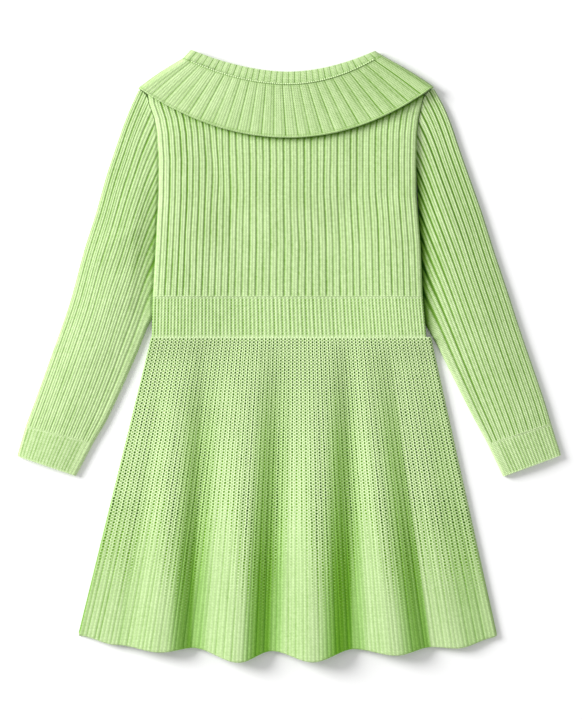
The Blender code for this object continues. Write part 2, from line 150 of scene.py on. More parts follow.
class Side(Enum):
    """The wearer's sides as they lie in the picture, by the sign of x."""

    LEFT = -1.0
    RIGHT = 1.0


class Skin(Enum):
    """The two faces of a wall of cloth."""

    OUTER = "outer"
    INNER = "inner"


class Spot(NamedTuple):
    """A point of the dress, in millimetres."""

    x: float
    down: float
    z: float


@dataclass(frozen=True)
class Arc:
    """A line that is lowest on the centre line and climbs to each end."""

    centre: float
    left_reach: float
    left_climb: float
    right_reach: float
    right_climb: float
    power: float

    def down(self, x: float, drop: float = 0.0) -> float:
        """Gives how far down the arc lies.

        Args:
            x: Distance from the centre line.
            drop: How much lower its middle lies, as on the front.

        Returns:
            The distance down the dress.
        """
        reach, climb = self.right_reach, self.right_climb
        if x < 0.0:
            reach, climb = self.left_reach, self.left_climb
        return self.centre + drop - (climb + drop) * (abs(x) / reach) ** self.power

    def point(self, u: float, drop: float = 0.0) -> tuple[float, float]:
        """Gives the point at share u of the arc's width.

        Args:
            u: Share of the width, from the left.
            drop: How much lower its middle lies.

        Returns:
            x and down.
        """
        x = mix(-self.left_reach, self.right_reach, u)
        return x, self.down(x, drop)


@dataclass(frozen=True)
class BodySide:
    """Where the sides of the body lie, so far down."""

    down: float
    left: float
    right: float


Line = tuple[tuple[float, float], ...]


@dataclass(frozen=True)
class SleeveCut:
    """How a sleeve or a cuff lies: for its outer and inner edge, how far out at each down.

    crown is how high its middle stands at each down.
    """

    outer: Line
    inner: Line
    crown: Line


@dataclass(frozen=True)
class Hollow:
    """The painted shade where a sleeve slips under the body, by how far down it comes and goes."""

    start: float = 0.0
    full: float = 1.0
    fall: float = 2.0
    gone: float = 3.0
    strength: float = 0.0
    reach: float = 1.0

    def shade(self, out: float, down: float) -> float:
        """Returns the painted shade at a place, out being its distance from the body's side."""
        along = ramp(down, self.start, self.full) * (1.0 - ramp(down, self.fall, self.gone))
        return self.strength * along * math.exp(-max(0.0, out) / self.reach)


@dataclass(frozen=True)
class FoldLine:
    """A crest or a valley of the skirt, from the waist to the hem.

    late is how much nearer to the next line than to this one the cloth between them is
    steepest; 1 puts that place half way.
    """

    waist: float
    hem: float
    hem_down: float
    lift: float
    late: float = 1.0


@dataclass(frozen=True)
class Crease:
    """A soft ridge, or a trough where height is negative, from one place to another."""

    x: float
    down: float
    end_x: float
    end_down: float
    width: float
    height: float

    def lift(self, x: float, down: float) -> float:
        """Gives the crease's height at a place.

        Args:
            x: Distance from the centre line.
            down: Distance down the dress.

        Returns:
            The height in millimetres, 0 away from the crease.
        """
        run_x, run_down = self.end_x - self.x, self.end_down - self.down
        length = math.hypot(run_x, run_down)
        along = ((x - self.x) * run_x + (down - self.down) * run_down) / length
        t = min(1.0, max(0.0, along / length))
        away = math.hypot(x - self.x - t * run_x, down - self.down - t * run_down)
        if away > 3.0 * self.width:
            return 0.0
        fade = math.sin(math.pi * mix(0.08, 0.92, t))
        return self.height * fade * math.exp(-((away / self.width) ** 2))


@dataclass(frozen=True)
class DressPlan:
    """The sizes of the laid dress and the heights at which its layers lie."""

    length: float = 610.0
    waist_top: float = 246.0
    waist_bottom: float = 286.0
    cloth: float = 2.0
    rib: float = 1.0
    edge: float = 0.5
    seam: float = 0.06
    lay: float = 0.5
    air: float = 1.5
    bodice_spread: float = -0.09
    waist_spread: float = -0.10
    neck_top: Arc = Arc(21.3, 97.5, 22.0, 86.5, 21.0, 1.85)
    neck_seam: Arc = Arc(33.7, 105.2, 26.2, 92.7, 29.0, 1.95)
    collar_edge: Arc = Arc(87.5, 150.2, 50.0, 144.8, 51.2, 2.05)
    front_neck_drop: float = 35.0
    shoulder_inset: float = 8.0
    sleeve_lift: float = 5.1
    flap_shelf: float = 10.0
    flap_ramp: float = 24.0
    lift_shelf: float = 10.0
    lift_ramp: float = 30.0
    soft_flap_ramp: float = 62.0
    soft_lift_ramp: float = 84.0
    lift_starts: tuple[float, float] = (52.0, 88.0)
    lift_ends: tuple[float, float] = (281.0, 315.0)
    neckline_passes: int = 6
    skirt_waist: tuple[float, float] = (-137.2, 142.0)
    skirt_hem: tuple[float, float] = (-209.9, 208.0)
    fold_growth: float = 0.75
    steep_lift: float = 12.0
    corner_rise: float = 3.0
    corner_radius: float = 5.0
    front_hem_short: float = 4.0
    sides: tuple[BodySide, ...] = (
        BodySide(41.0, 141.0, 135.7),
        BodySide(53.0, 139.3, 133.0),
        BodySide(68.0, 134.0, 129.7),
        BodySide(83.0, 131.2, 127.9),
        BodySide(109.0, 129.5, 127.2),
        BodySide(145.0, 130.0, 127.4),
        BodySide(193.0, 132.5, 131.5),
        BodySide(249.0, 135.7, 133.8),
        BodySide(286.0, 136.7, 137.4),
    )
    folds: tuple[FoldLine, ...] = (
        FoldLine(-137.2, -209.9, 584.5, 0.0),
        FoldLine(-125.0, -172.0, 593.5, 2.6),
        FoldLine(-106.0, -128.0, 600.5, 10.0, 1.8),
        FoldLine(-82.0, -96.0, 596.5, 0.3),
        FoldLine(-32.0, -50.0, 610.5, 11.6, 1.3),
        FoldLine(-8.0, -17.0, 599.7, 0.3),
        FoldLine(35.0, 24.0, 610.0, 12.8, 1.7),
        FoldLine(59.0, 65.0, 597.7, 0.3),
        FoldLine(75.0, 107.0, 603.6, 10.4, 1.5),
        FoldLine(99.0, 142.0, 595.8, 0.8),
        FoldLine(116.0, 168.0, 597.0, 3.2),
        FoldLine(142.0, 208.0, 586.0, 0.0),
    )

    def side(self, down: float, side: Side) -> float:
        """Gives the distance from the centre line to the body's side above the skirt.

        Args:
            down: Distance down the dress.
            side: Left or right.

        Returns:
            The distance in millimetres.
        """
        column = "left" if side is Side.LEFT else "right"
        for above, below in zip(self.sides, self.sides[1:]):
            if down <= below.down:
                t = max(0.0, (down - above.down) / (below.down - above.down))
                return mix(getattr(above, column), getattr(below, column), t)
        return getattr(self.sides[-1], column)

    def side_at(self, x: float, down: float) -> float:
        """Gives the distance to the body's side, skirt included, on the side of x.

        Args:
            x: Distance from the centre line.
            down: Distance down the dress.

        Returns:
            The distance in millimetres.
        """
        if down <= self.waist_bottom:
            return self.side(down, Side.LEFT if x < 0.0 else Side.RIGHT)
        end = 0 if x < 0.0 else 1
        t = (down - self.waist_bottom) / (self.folds[0].hem_down - self.waist_bottom)
        return abs(mix(self.skirt_waist[end], self.skirt_hem[end], t))

    def shoulder_down(self, x: float) -> float:
        """Returns how far down the body's shoulder line lies, inside the collar's fold."""
        end = 0.0 if x < 0.0 else 1.0
        neck, tip = self.neck_seam.point(end), self.collar_edge.point(end)
        slope = (tip[1] - neck[1]) / abs(tip[0] - neck[0])
        inset = self.shoulder_inset * math.hypot(1.0, slope)
        return neck[1] + slope * (abs(x) - abs(neck[0])) + inset

    def under_body(self, x: float, down: float, soft: bool = False) -> float:
        """Gives the height of the front's underside, over its collar and the sleeves.

        Args:
            x: Distance from the centre line.
            down: Distance down the dress.
            soft: Whether to ease its slopes, as they show through the back.

        Returns:
            The height in millimetres.
        """
        flap_ramp = self.soft_flap_ramp if soft else self.flap_ramp
        lift_ramp = self.soft_lift_ramp if soft else self.lift_ramp
        flap = self.collar_edge.down(x, self.front_neck_drop) + self.flap_shelf
        over_collar = (self.cloth + self.lay) * (1.0 - smooth((down - flap) / flap_ramp))
        inward = self.side_at(x, down) - abs(x) - self.lift_shelf
        start, full = self.lift_starts
        fall, gone = self.lift_ends
        along = ramp(down, start, full) * (1.0 - ramp(down, fall, gone))
        over_sleeve = self.sleeve_lift * along * (1.0 - smooth(inward / lift_ramp))
        return max(over_collar, over_sleeve)

    def back_rest(self, x: float, down: float) -> float:
        """Returns the height of the back's inner face, without the skirt's folds."""
        across = min(1.0, abs(x) / self.side_at(x, down))
        rest = self.under_body(x, down, soft=True) + self.cloth + self.lay
        return rest + self.air * (1.0 - across**2)

    def stretch(self, x: float, v: float) -> tuple[FoldLine, FoldLine, float]:
        """Finds the stretch between two fold lines in which a place lies.

        Args:
            x: Distance from the centre line.
            v: Share of the way down the skirt.

        Returns:
            The line to its left, the one to its right and the share of the way between.
        """
        places = [mix(line.waist, line.hem, v) for line in self.folds]
        last = len(places) - 2
        i = next((k for k in range(last) if x <= places[k + 1]), last)
        t = (x - places[i]) / (places[i + 1] - places[i])
        return self.folds[i], self.folds[i + 1], min(1.0, max(0.0, t))

    def hem_down(self, x: float) -> float:
        """Returns how far down the waved hem lies."""
        left, right, t = self.stretch(x, 1.0)
        return mix(left.hem_down, right.hem_down, smooth(t))

    def flute(self, x: float, v: float) -> float:
        """Gives the lift of the flutes, before they have grown to their full height.

        Args:
            x: Distance from the centre line.
            v: Share of the way down the skirt.

        Returns:
            The lift in millimetres.
        """
        left, right, t = self.stretch(x, v)
        return mix(left.lift, right.lift, smooth(t**left.late))

    def slope(self, x: float, v: float) -> float:
        """Gives how steep a flute's side is.

        Args:
            x: Distance from the centre line.
            v: Share of the way down the skirt.

        Returns:
            Up to 1 where it climbs to the right, and down to -1 where it falls.
        """
        left, right, t = self.stretch(x, v)
        steep = (right.lift - left.lift) / self.steep_lift
        return max(-1.0, min(1.0, steep * math.sin(math.pi * t**left.late)))

    def between_sides(self, across: float, down: float) -> float:
        """Returns x at a share of the body's width, so far down."""
        return mix(-self.side(down, Side.LEFT), self.side(down, Side.RIGHT), across)

    def bodice(self, u: float, v: float, neck_drop: float = 0.0) -> tuple[float, float]:
        """Lays out the bodice, from the neckline and shoulders to the waist seam.

        Args:
            u: Share of its width.
            v: Share of its length.
            neck_drop: How much lower the neckline is, as on the front.

        Returns:
            x and down.
        """
        across = spread(u, self.bodice_spread)
        starts = self.sides[0].down
        for _ in range(self.neckline_passes):
            x = self.between_sides(across, starts)
            seam = self.neck_seam.down(x, neck_drop) + self.seam
            starts = max(seam, self.shoulder_down(x))
        down = mix(starts, self.waist_top - self.seam * 0.5, v)
        return self.between_sides(across, down), down

    def waist(self, u: float, v: float) -> tuple[float, float]:
        """Lays out the waistband and returns x and down at shares u and v of it."""
        half_seam = self.seam * 0.5
        down = mix(self.waist_top + half_seam, self.waist_bottom - half_seam, v)
        return self.between_sides(spread(u, self.waist_spread), down), down

    def skirt(self, u: float, v: float) -> tuple[float, float]:
        """Lays out the back skirt, down to the waved hem, at shares u and v of it."""
        hem_x = mix(*self.skirt_hem, u)
        x = mix(mix(*self.skirt_waist, u), hem_x, v)
        to_side = min(hem_x - self.skirt_hem[0], self.skirt_hem[1] - hem_x)
        corner = self.corner_rise * (1.0 - round_off(to_side, self.corner_radius))
        hem_down = self.hem_down(hem_x) - corner
        return x, mix(self.waist_bottom + self.seam * 0.5, hem_down, v)

    def front_skirt(self, u: float, v: float) -> tuple[float, float]:
        """Lays out the front skirt, whose hem is an even arc, at shares u and v of it."""
        x = mix(mix(*self.skirt_waist, u), mix(*self.skirt_hem, u), v)
        valleys = (line.hem_down for line in self.folds[2:-2])
        middle = min(valleys) - self.front_hem_short
        hem_down = mix(self.folds[0].hem_down, middle, 1.0 - (2.0 * u - 1.0) ** 2)
        return x, mix(self.waist_bottom + self.seam * 0.5, hem_down, v)


# Finishes --------------------------------------------------------------------------------


def linear(hex_colour: str) -> tuple[float, float, float, float]:
    """Turns an sRGB hex colour into linear light.

    Args:
        hex_colour: Such as "#C4E2A0".

    Returns:
        Red, green, blue and an alpha of 1.
    """
    parts = [int(hex_colour[i : i + 2], 16) / 255.0 for i in (1, 3, 5)]
    light = [c / 12.92 if c <= 0.04045 else ((c + 0.055) / 1.055) ** 2.4 for c in parts]
    return light[0], light[1], light[2], 1.0


Source = bpy.types.Node | bpy.types.NodeSocket


def per_metre(size_mm: float) -> float:
    """Returns the scale of a noise whose features are so many millimetres wide."""
    return 1.0 / (size_mm * MM)


def add_node(
    tree: bpy.types.NodeTree,
    kind: str,
    *inputs: object,
    links: dict[int | str, object] | None = None,
    **settings: object,
) -> bpy.types.Node:
    """Adds one shader node.

    Args:
        tree: The material's node tree.
        kind: Blender's name for the kind of node, after "ShaderNode".
        *inputs: What goes into its first inputs: a value, a socket, or a node for the
            first of its outputs.
        links: The same for other inputs, by name or place.
        **settings: Values of the node's own settings.

    Returns:
        The new node.
    """
    node = tree.nodes.new("ShaderNode" + kind)
    for name, value in settings.items():
        setattr(node, name, value)
    for place, value in {**dict(enumerate(inputs)), **(links or {})}.items():
        if isinstance(value, bpy.types.Node):
            value = value.outputs[0]
        if isinstance(value, bpy.types.NodeSocket):
            tree.links.new(value, node.inputs[place])
        else:
            node.inputs[place].default_value = value
    return node


@dataclass(frozen=True)
class KnitFinish:
    """Combed cotton yarn, machine knitted: matt, softly hairy, in one light green.

    The ridges show the pale face of the yarn, and the grooves between them are painted a
    deeper green: painted shade that stands for the light there having passed from yarn to
    yarn. Stitch legs lean both ways from the middle of each wale and show as a fine
    herringbone, as bumps and as painted shade on their sides. Their real width is about
    1.2 mm, and they are drawn a little coarser so that they show. A pinhole of the mesh is
    painted dark, as painted shade, with a full green rim of painted light where light comes
    through the yarn, and the loops beside it carry a painted highlight.
    """

    name: str

    # The yarn's face; the deeper green towards which painted shade and the yarn's uneven tone
    # go; a pinhole's rim, painted light, and its middle, painted shade that is also the darkest
    # painted shade elsewhere; a loop's painted highlight; the painted green of light that has
    # come through other cloth; and the hairs on the yarn.
    pale: str = "#D5ECB4"
    deep: str = "#6B9933"
    rim: str = "#74AC20"
    hole: str = "#184600"
    light: str = "#ECF8C8"
    through: str = "#A9DE5C"
    hairs: str = "#E9F6D6"

    # How deep the whole piece is, and how far the yarn's thick places, unlike ribs and
    # uneven dye take it from there.
    tone: float = 0.22
    slubs: float = 0.70
    slub_mm: float = 3.03
    streaks: float = 0.44
    streak_scale: float = 1.7
    streak_run: float = 0.025
    clouds: float = 0.20
    cloud_mm: float = 62.5

    # The stitch legs, whose sides get painted shade. Where broken isn't 0, the painted shade
    # in a groove comes and goes with them.
    wales_per_rib: float = 2.0
    stitches_per_course: float = 1.0
    lean: float = 0.8
    leg_fullness: float = 1.25
    leg_shade: float = 0.22
    leg_light: float = 0.10
    stitch_mm: float = 0.45
    slub_height_mm: float = 0.25
    painted_shade_strength: float = 0.85
    broken: float = 0.0

    # The mesh, which is left out where hole_depth_mm is 0. Its pinholes differ by patches
    # and from one to the next, and pulls is how far they drift, in ribs and in courses.
    hole_depth_mm: float = 0.0
    hole_size: tuple[float, float] = (0.22, 0.38)
    hole_edge: float = 1.6
    holes_per_rib: float = 72.0 / 104.0
    second_holes: float = 0.4
    # rim_width and core_power shape a pinhole's rim of painted light and its core of painted
    # shade; loop_light is the loops' painted highlight, and loop_fall is how much painted shade
    # takes it away.
    rim_width: float = 2.1
    core_power: float = 1.5
    loop_light: float = 0.6
    loop_fall: float = 1.6
    patch_mm: float = 23.8
    patches: tuple[float, float] = (0.45, 0.7)
    pull_mm: float = 6.67
    pulls: tuple[float, float] = (0.6, 0.4)
    hole_differences: float = 0.4

    # The surface.
    roughness: float = 0.95
    specular: float = 0.12
    sheen: float = 0.04
    sheen_roughness: float = 0.5
    bump: float = 0.8

    def _stitches(
        self, tree: bpy.types.NodeTree, rib: Source, course: Source
    ) -> bpy.types.Node:
        """Draws the herringbone of stitch legs.

        Args:
            tree: The material's node tree.
            rib: The rib's number across the cloth.
            course: The course's number down the cloth.

        Returns:
            A height from 0 between two stitches to 1 on a stitch's back.
        """
        add = partial(add_node, tree)
        wale = add("Math", rib, self.wales_per_rib, operation="MULTIPLY")
        part = add("Math", wale, operation="FRACT")
        off = add("Math", part, 0.5, operation="SUBTRACT")
        from_middle = add("Math", off, operation="ABSOLUTE")
        leaning = add("Math", from_middle, self.lean, operation="MULTIPLY")
        stitch = add("Math", course, self.stitches_per_course, operation="MULTIPLY")
        turn = add("Math", stitch, leaning, operation="SUBTRACT")
        angle = add("Math", turn, 2.0 * math.pi, operation="MULTIPLY")
        wave = add("Math", angle, operation="COSINE")
        legs = add("Math", wave, 0.5, 0.5, operation="MULTIPLY_ADD")
        split = add("Math", from_middle, 2.0, operation="MULTIPLY")
        full = add("Math", self.leg_fullness, split, operation="SUBTRACT")
        return add("Math", legs, full, operation="MULTIPLY")

    def _holes(
        self, tree: bpy.types.NodeTree, rib: Source, course: Source
    ) -> bpy.types.Node:
        """Draws the pinholes of the mesh: one set, and a fainter one half a step away.

        Args:
            tree: The material's node tree.
            rib: The rib's number across the cloth.
            course: The course's number down the cloth.

        Returns:
            1 in a hole and 0 on the yarn.
        """
        add = partial(add_node, tree)
        sets = []
        column = add("Math", rib, self.holes_per_rib, operation="MULTIPLY")
        for shift, strength in ((0.0, 1.0), (0.5, self.second_holes)):
            square = []
            for value, size in zip((column, course), self.hole_size):
                moved = add("Math", value, shift, operation="ADD")
                part = add("Math", moved, operation="FRACT")
                off = add("Math", part, 0.5, operation="SUBTRACT")
                share = add("Math", off, size, operation="DIVIDE")
                square.append(add("Math", share, share, operation="MULTIPLY"))
            away = add("Math", *square, operation="ADD")
            near = add("Math", 1.0, away, operation="SUBTRACT")
            soft = add("Math", near, self.hole_edge, operation="MULTIPLY", use_clamp=True)
            sets.append(add("Math", soft, strength, operation="MULTIPLY"))
        return add("Math", *sets, operation="MAXIMUM")

    def _shade(
        self, tree: bpy.types.NodeTree, rib: Source, course: Source, slub: Source, stitches: Source
    ) -> bpy.types.Node:
        """Works out how deep a green each place shows: the yarn's uneven tone, painted shade on
        the stitch legs' sides and each piece's painted shade.

        Args:
            tree: The material's node tree.
            rib: The rib's number across the cloth.
            course: The course's number down the cloth.
            slub: How thick the yarn is.
            stitches: The height of the stitch legs.

        Returns:
            0 for the palest yarn to 1 for the deepest.
        """
        add = partial(add_node, tree)
        place = add("TexCoord").outputs["Object"]
        cloud = add(
            "TexNoise", links={"Vector": place, "Scale": per_metre(self.cloud_mm), "Detail": 2.0}
        )

        # Each rib was knitted a little tighter or looser than the next, all down its length.
        run = add("Math", course, self.streak_run, operation="MULTIPLY")
        streak = add(
            "TexNoise",
            links={
                "Vector": add("CombineXYZ", rib, run), "Scale": self.streak_scale, "Detail": 2.0,
            },
        )

        # The three unevennesses swing round 0. A stitch's back is paler than its sides, which get
        # painted shade.
        uneven = ((slub, self.slubs), (streak, self.streaks), (cloud, self.clouds))
        shade = self.tone + self.leg_light - 0.5 * sum(amount for _, amount in uneven)
        for noise, amount in (*uneven, (stitches, -self.leg_shade)):
            shade = add("Math", noise, amount, shade, operation="MULTIPLY_ADD")
        angle = add("Math", course, 2.0 * math.pi, operation="MULTIPLY")
        beat = add("Math", angle, operation="COSINE")
        strength = add("Math", beat, self.broken, self.painted_shade_strength, operation="MULTIPLY_ADD")
        # Each piece's painted shade, in its grooves, at its edges, in its hollows and under the
        # collar, comes on top.
        groove = add("Attribute", attribute_name=PAINTED_SHADE_NAME).outputs["Fac"]
        return add("Math", groove, strength, shade, operation="MULTIPLY_ADD", use_clamp=True)

    def _mesh(
        self, tree: bpy.types.NodeTree, rib: Source, course: Source
    ) -> tuple[bpy.types.Node, bpy.types.Node]:
        """Draws the mesh, which was pulled about a little: its columns drift.

        Args:
            tree: The material's node tree.
            rib: The rib's number across the cloth.
            course: The course's number down the cloth.

        Returns:
            Where its pinholes are, and where the loops between them carry a painted highlight.
        """
        add = partial(add_node, tree)
        place = add("TexCoord").outputs["Object"]
        patch, pulled = (
            add("TexNoise", links={"Vector": place, "Scale": per_metre(size), "Detail": 2.0})
            for size in (self.patch_mm, self.pull_mm)
        )
        pull = add("SeparateXYZ", pulled.outputs["Color"])
        drift = [
            add("Math", way, far, -far / 2, operation="MULTIPLY_ADD")
            for way, far in zip(pull.outputs, self.pulls)
        ]
        rib = add("Math", rib, drift[0], operation="ADD")
        course = add("Math", course, drift[1], operation="ADD")
        least, more = self.patches
        patchy = add("Math", patch, more, least, operation="MULTIPLY_ADD")
        patchy = add(
            "Math", pull.outputs[2], self.hole_differences, patchy, operation="MULTIPLY_ADD"
        )
        openwork = add("Attribute", attribute_name=OPEN_NAME).outputs["Fac"]
        opened = add("Math", openwork, patchy, operation="MULTIPLY", use_clamp=True)
        between = add("Math", rib, 0.5 / self.holes_per_rib, operation="ADD")
        holes, loops = (
            add("Math", self._holes(tree, column, course), opened, operation="MULTIPLY")
            for column in (rib, between)
        )
        groove = add("Attribute", attribute_name=PAINTED_SHADE_NAME).outputs["Fac"]
        lit = add(
            "Math", groove, -self.loop_fall * self.loop_light, self.loop_light,
            operation="MULTIPLY_ADD", use_clamp=True,
        )
        return holes, add("Math", loops, lit, operation="MULTIPLY")

    def make(self) -> bpy.types.Material:
        """Builds the material and returns it."""
        material = bpy.data.materials.new(self.name)
        material.use_nodes = True
        tree = material.node_tree
        shader = tree.nodes["Principled BSDF"]
        add = partial(add_node, tree)
        rib, course, _ = add("SeparateXYZ", add("UVMap", uv_map=UV_NAME)).outputs
        groove, folded = (
            add("Attribute", attribute_name=key).outputs["Fac"] for key in (PAINTED_SHADE_NAME, FOLD_SHADE_NAME)
        )
        slub = add(
            "TexNoise",
            links={
                "Vector": add("TexCoord").outputs["Object"], "Scale": per_metre(self.slub_mm),
                "Detail": 4.0, "Roughness": 0.65,
            },
        )
        stitches = self._stitches(tree, rib, course)
        # Painted shade beyond 1, where a sleeve slips under the body, goes on towards the darkest
        # green.
        hidden = add("Math", groove, 1.0, operation="SUBTRACT", use_clamp=True)
        coats = [
            (self._shade(tree, rib, course, slub, stitches), "MIX", self.deep),
            (hidden, "MIX", self.hole),
            # The painted green of light that has come through other cloth, in the folds.
            (folded, "MULTIPLY", self.through),
        ]
        height = add("Math", stitches, self.stitch_mm * MM, operation="MULTIPLY")
        height = add("Math", slub, self.slub_height_mm * MM, height, operation="MULTIPLY_ADD")
        if self.hole_depth_mm:
            holes, loops = self._mesh(tree, rib, course)
            # A pinhole gets a rim of painted light and a core of painted shade, and the loops
            # between them a painted highlight.
            rims = add("Math", holes, self.rim_width, operation="MULTIPLY", use_clamp=True)
            cores = add("Math", holes, self.core_power, operation="POWER")
            coats += [
                (loops, "MIX", self.light), (rims, "MIX", self.rim), (cores, "MIX", self.hole),
            ]
            depth = -self.hole_depth_mm * MM
            height = add("Math", holes, depth, height, operation="MULTIPLY_ADD")
        colour = linear(self.pale)
        for share, blend, hue in coats:
            colour = add(
                "Mix", links={0: share, 6: colour, 7: linear(hue)}, data_type="RGBA",
                blend_type=blend,
            ).outputs[2]
        bump = add("Bump", links={"Height": height, "Distance": 1.0, "Strength": self.bump})
        tree.links.new(colour, shader.inputs["Base Color"])
        tree.links.new(bump.outputs[0], shader.inputs["Normal"])
        for name, value in (
            ("Roughness", self.roughness), ("Specular IOR Level", self.specular),
            ("Sheen Weight", self.sheen), ("Sheen Roughness", self.sheen_roughness),
            ("Sheen Tint", linear(self.hairs)),
        ):
            shader.inputs[name].default_value = value
        material.diffuse_color = linear(self.pale)
        return material


@dataclass(frozen=True)
class PaperFinish:
    """Matt white photographic background paper, an even surface with no sheen."""

    name: str = "White background paper"
    colour: str = "#F7F7F7"
    roughness: float = 0.95
    specular: float = 0.1
    grain_mm: float = 1.11
    grain_height_mm: float = 0.05

    def make(self) -> bpy.types.Material:
        """Builds the material and returns it."""
        material = bpy.data.materials.new(self.name)
        material.use_nodes = True
        tree = material.node_tree
        shader = tree.nodes["Principled BSDF"]
        add = partial(add_node, tree)
        place = add("TexCoord").outputs["Object"]
        grain = add(
            "TexNoise", links={"Vector": place, "Scale": per_metre(self.grain_mm), "Detail": 2.0}
        )
        depth = self.grain_height_mm * MM
        bump = add("Bump", links={"Height": grain, "Distance": depth, "Strength": 0.5})
        tree.links.new(bump.outputs[0], shader.inputs["Normal"])
        shader.inputs["Base Color"].default_value = linear(self.colour)
        shader.inputs["Roughness"].default_value = self.roughness
        shader.inputs["Specular IOR Level"].default_value = self.specular
        return material


# Ribs ------------------------------------------------------------------------------------


@dataclass(frozen=True)
class RibProfile:
    """The cross-section of one rib, from the middle of a groove to the next.

    flank is the share of the pitch over which a side of the ridge climbs. dip is the depth
    of the faint line down the middle of a ridge, and second the depth of a fine line that
    runs beside the groove, both as shares of the height.
    """

    ribs: int
    height: float
    flank: float
    stations: tuple[float, ...]
    dip: float = 0.0
    dip_width: float = 0.07
    second: float = 0.0
    second_at: float = 0.76
    second_width: float = 0.035
    shade: float = 0.7
    uneven: float = 0.3

    def columns(self) -> list[float]:
        """Returns the shares of the width at which the cloth has points."""
        places = [
            (rib + station) / self.ribs for rib in range(self.ribs) for station in self.stations
        ]
        return places + [1.0]

    def relief(self, u: float) -> float:
        """Gives the height of the ribs, from 0 in a groove to 1 on a ridge.

        Args:
            u: Share of the width.

        Returns:
            The share of the full height.
        """
        phase = (u * self.ribs) % 1.0
        away = min(phase, 1.0 - phase)
        nearest = math.floor(u * self.ribs + 0.5)
        # Two waves out of step leave no two neighbouring grooves alike.
        wave = math.sin(2.4 * nearest + 1.3 * math.sin(0.7 * nearest))
        weaker = self.uneven * (0.5 + 0.5 * wave)
        ridge = 1.0 - (1.0 - weaker) * (1.0 - smooth(away / self.flank))
        ridge -= self.dip * math.exp(-(((phase - 0.5) / self.dip_width) ** 2))
        ridge -= self.second * math.exp(-(((phase - self.second_at) / self.second_width) ** 2))
        return ridge


WIDE_RIB = RibProfile(
    41, 0.75, 0.28, (0.0, 0.07, 0.14, 0.22, 0.33, 0.44, 0.5, 0.56, 0.67, 0.78, 0.86, 0.93),
    dip=0.2, shade=0.75,
)
FINE_RIB = RibProfile(75, 0.5, 0.42, (0.0, 0.17, 0.33, 0.5, 0.67, 0.83), shade=0.6)
SKIRT_RIB = RibProfile(104, 0.25, 0.3, (0.0, 0.17, 0.4, 0.83), shade=0.5, uneven=0.7)
COLLAR_RIB = RibProfile(
    24, 0.5, 0.075,
    (0.0, 0.035, 0.075, 0.2, 0.35, 0.5, 0.62, 0.71, 0.735, 0.76, 0.785, 0.81, 0.88, 0.925, 0.965),
    second=0.45, shade=0.62,
)
NECK_RIB = RibProfile(
    32, 0.5, 0.14, (0.0, 0.05, 0.1, 0.16, 0.33, 0.5, 0.67, 0.84, 0.9, 0.95), dip=0.1, shade=0.6,
)
SLEEVE_RIB = RibProfile(
    14, 0.55, 0.26, (0.0, 0.05, 0.1, 0.17, 0.26, 0.42, 0.5, 0.58, 0.74, 0.83, 0.9, 0.95), dip=0.5,
    shade=0.7,
)
CUFF_RIB = RibProfile(20, 0.35, 0.42, (0.0, 0.17, 0.33, 0.5, 0.67, 0.83), shade=0.6)


# Building a wall of knit -----------------------------------------------------------------


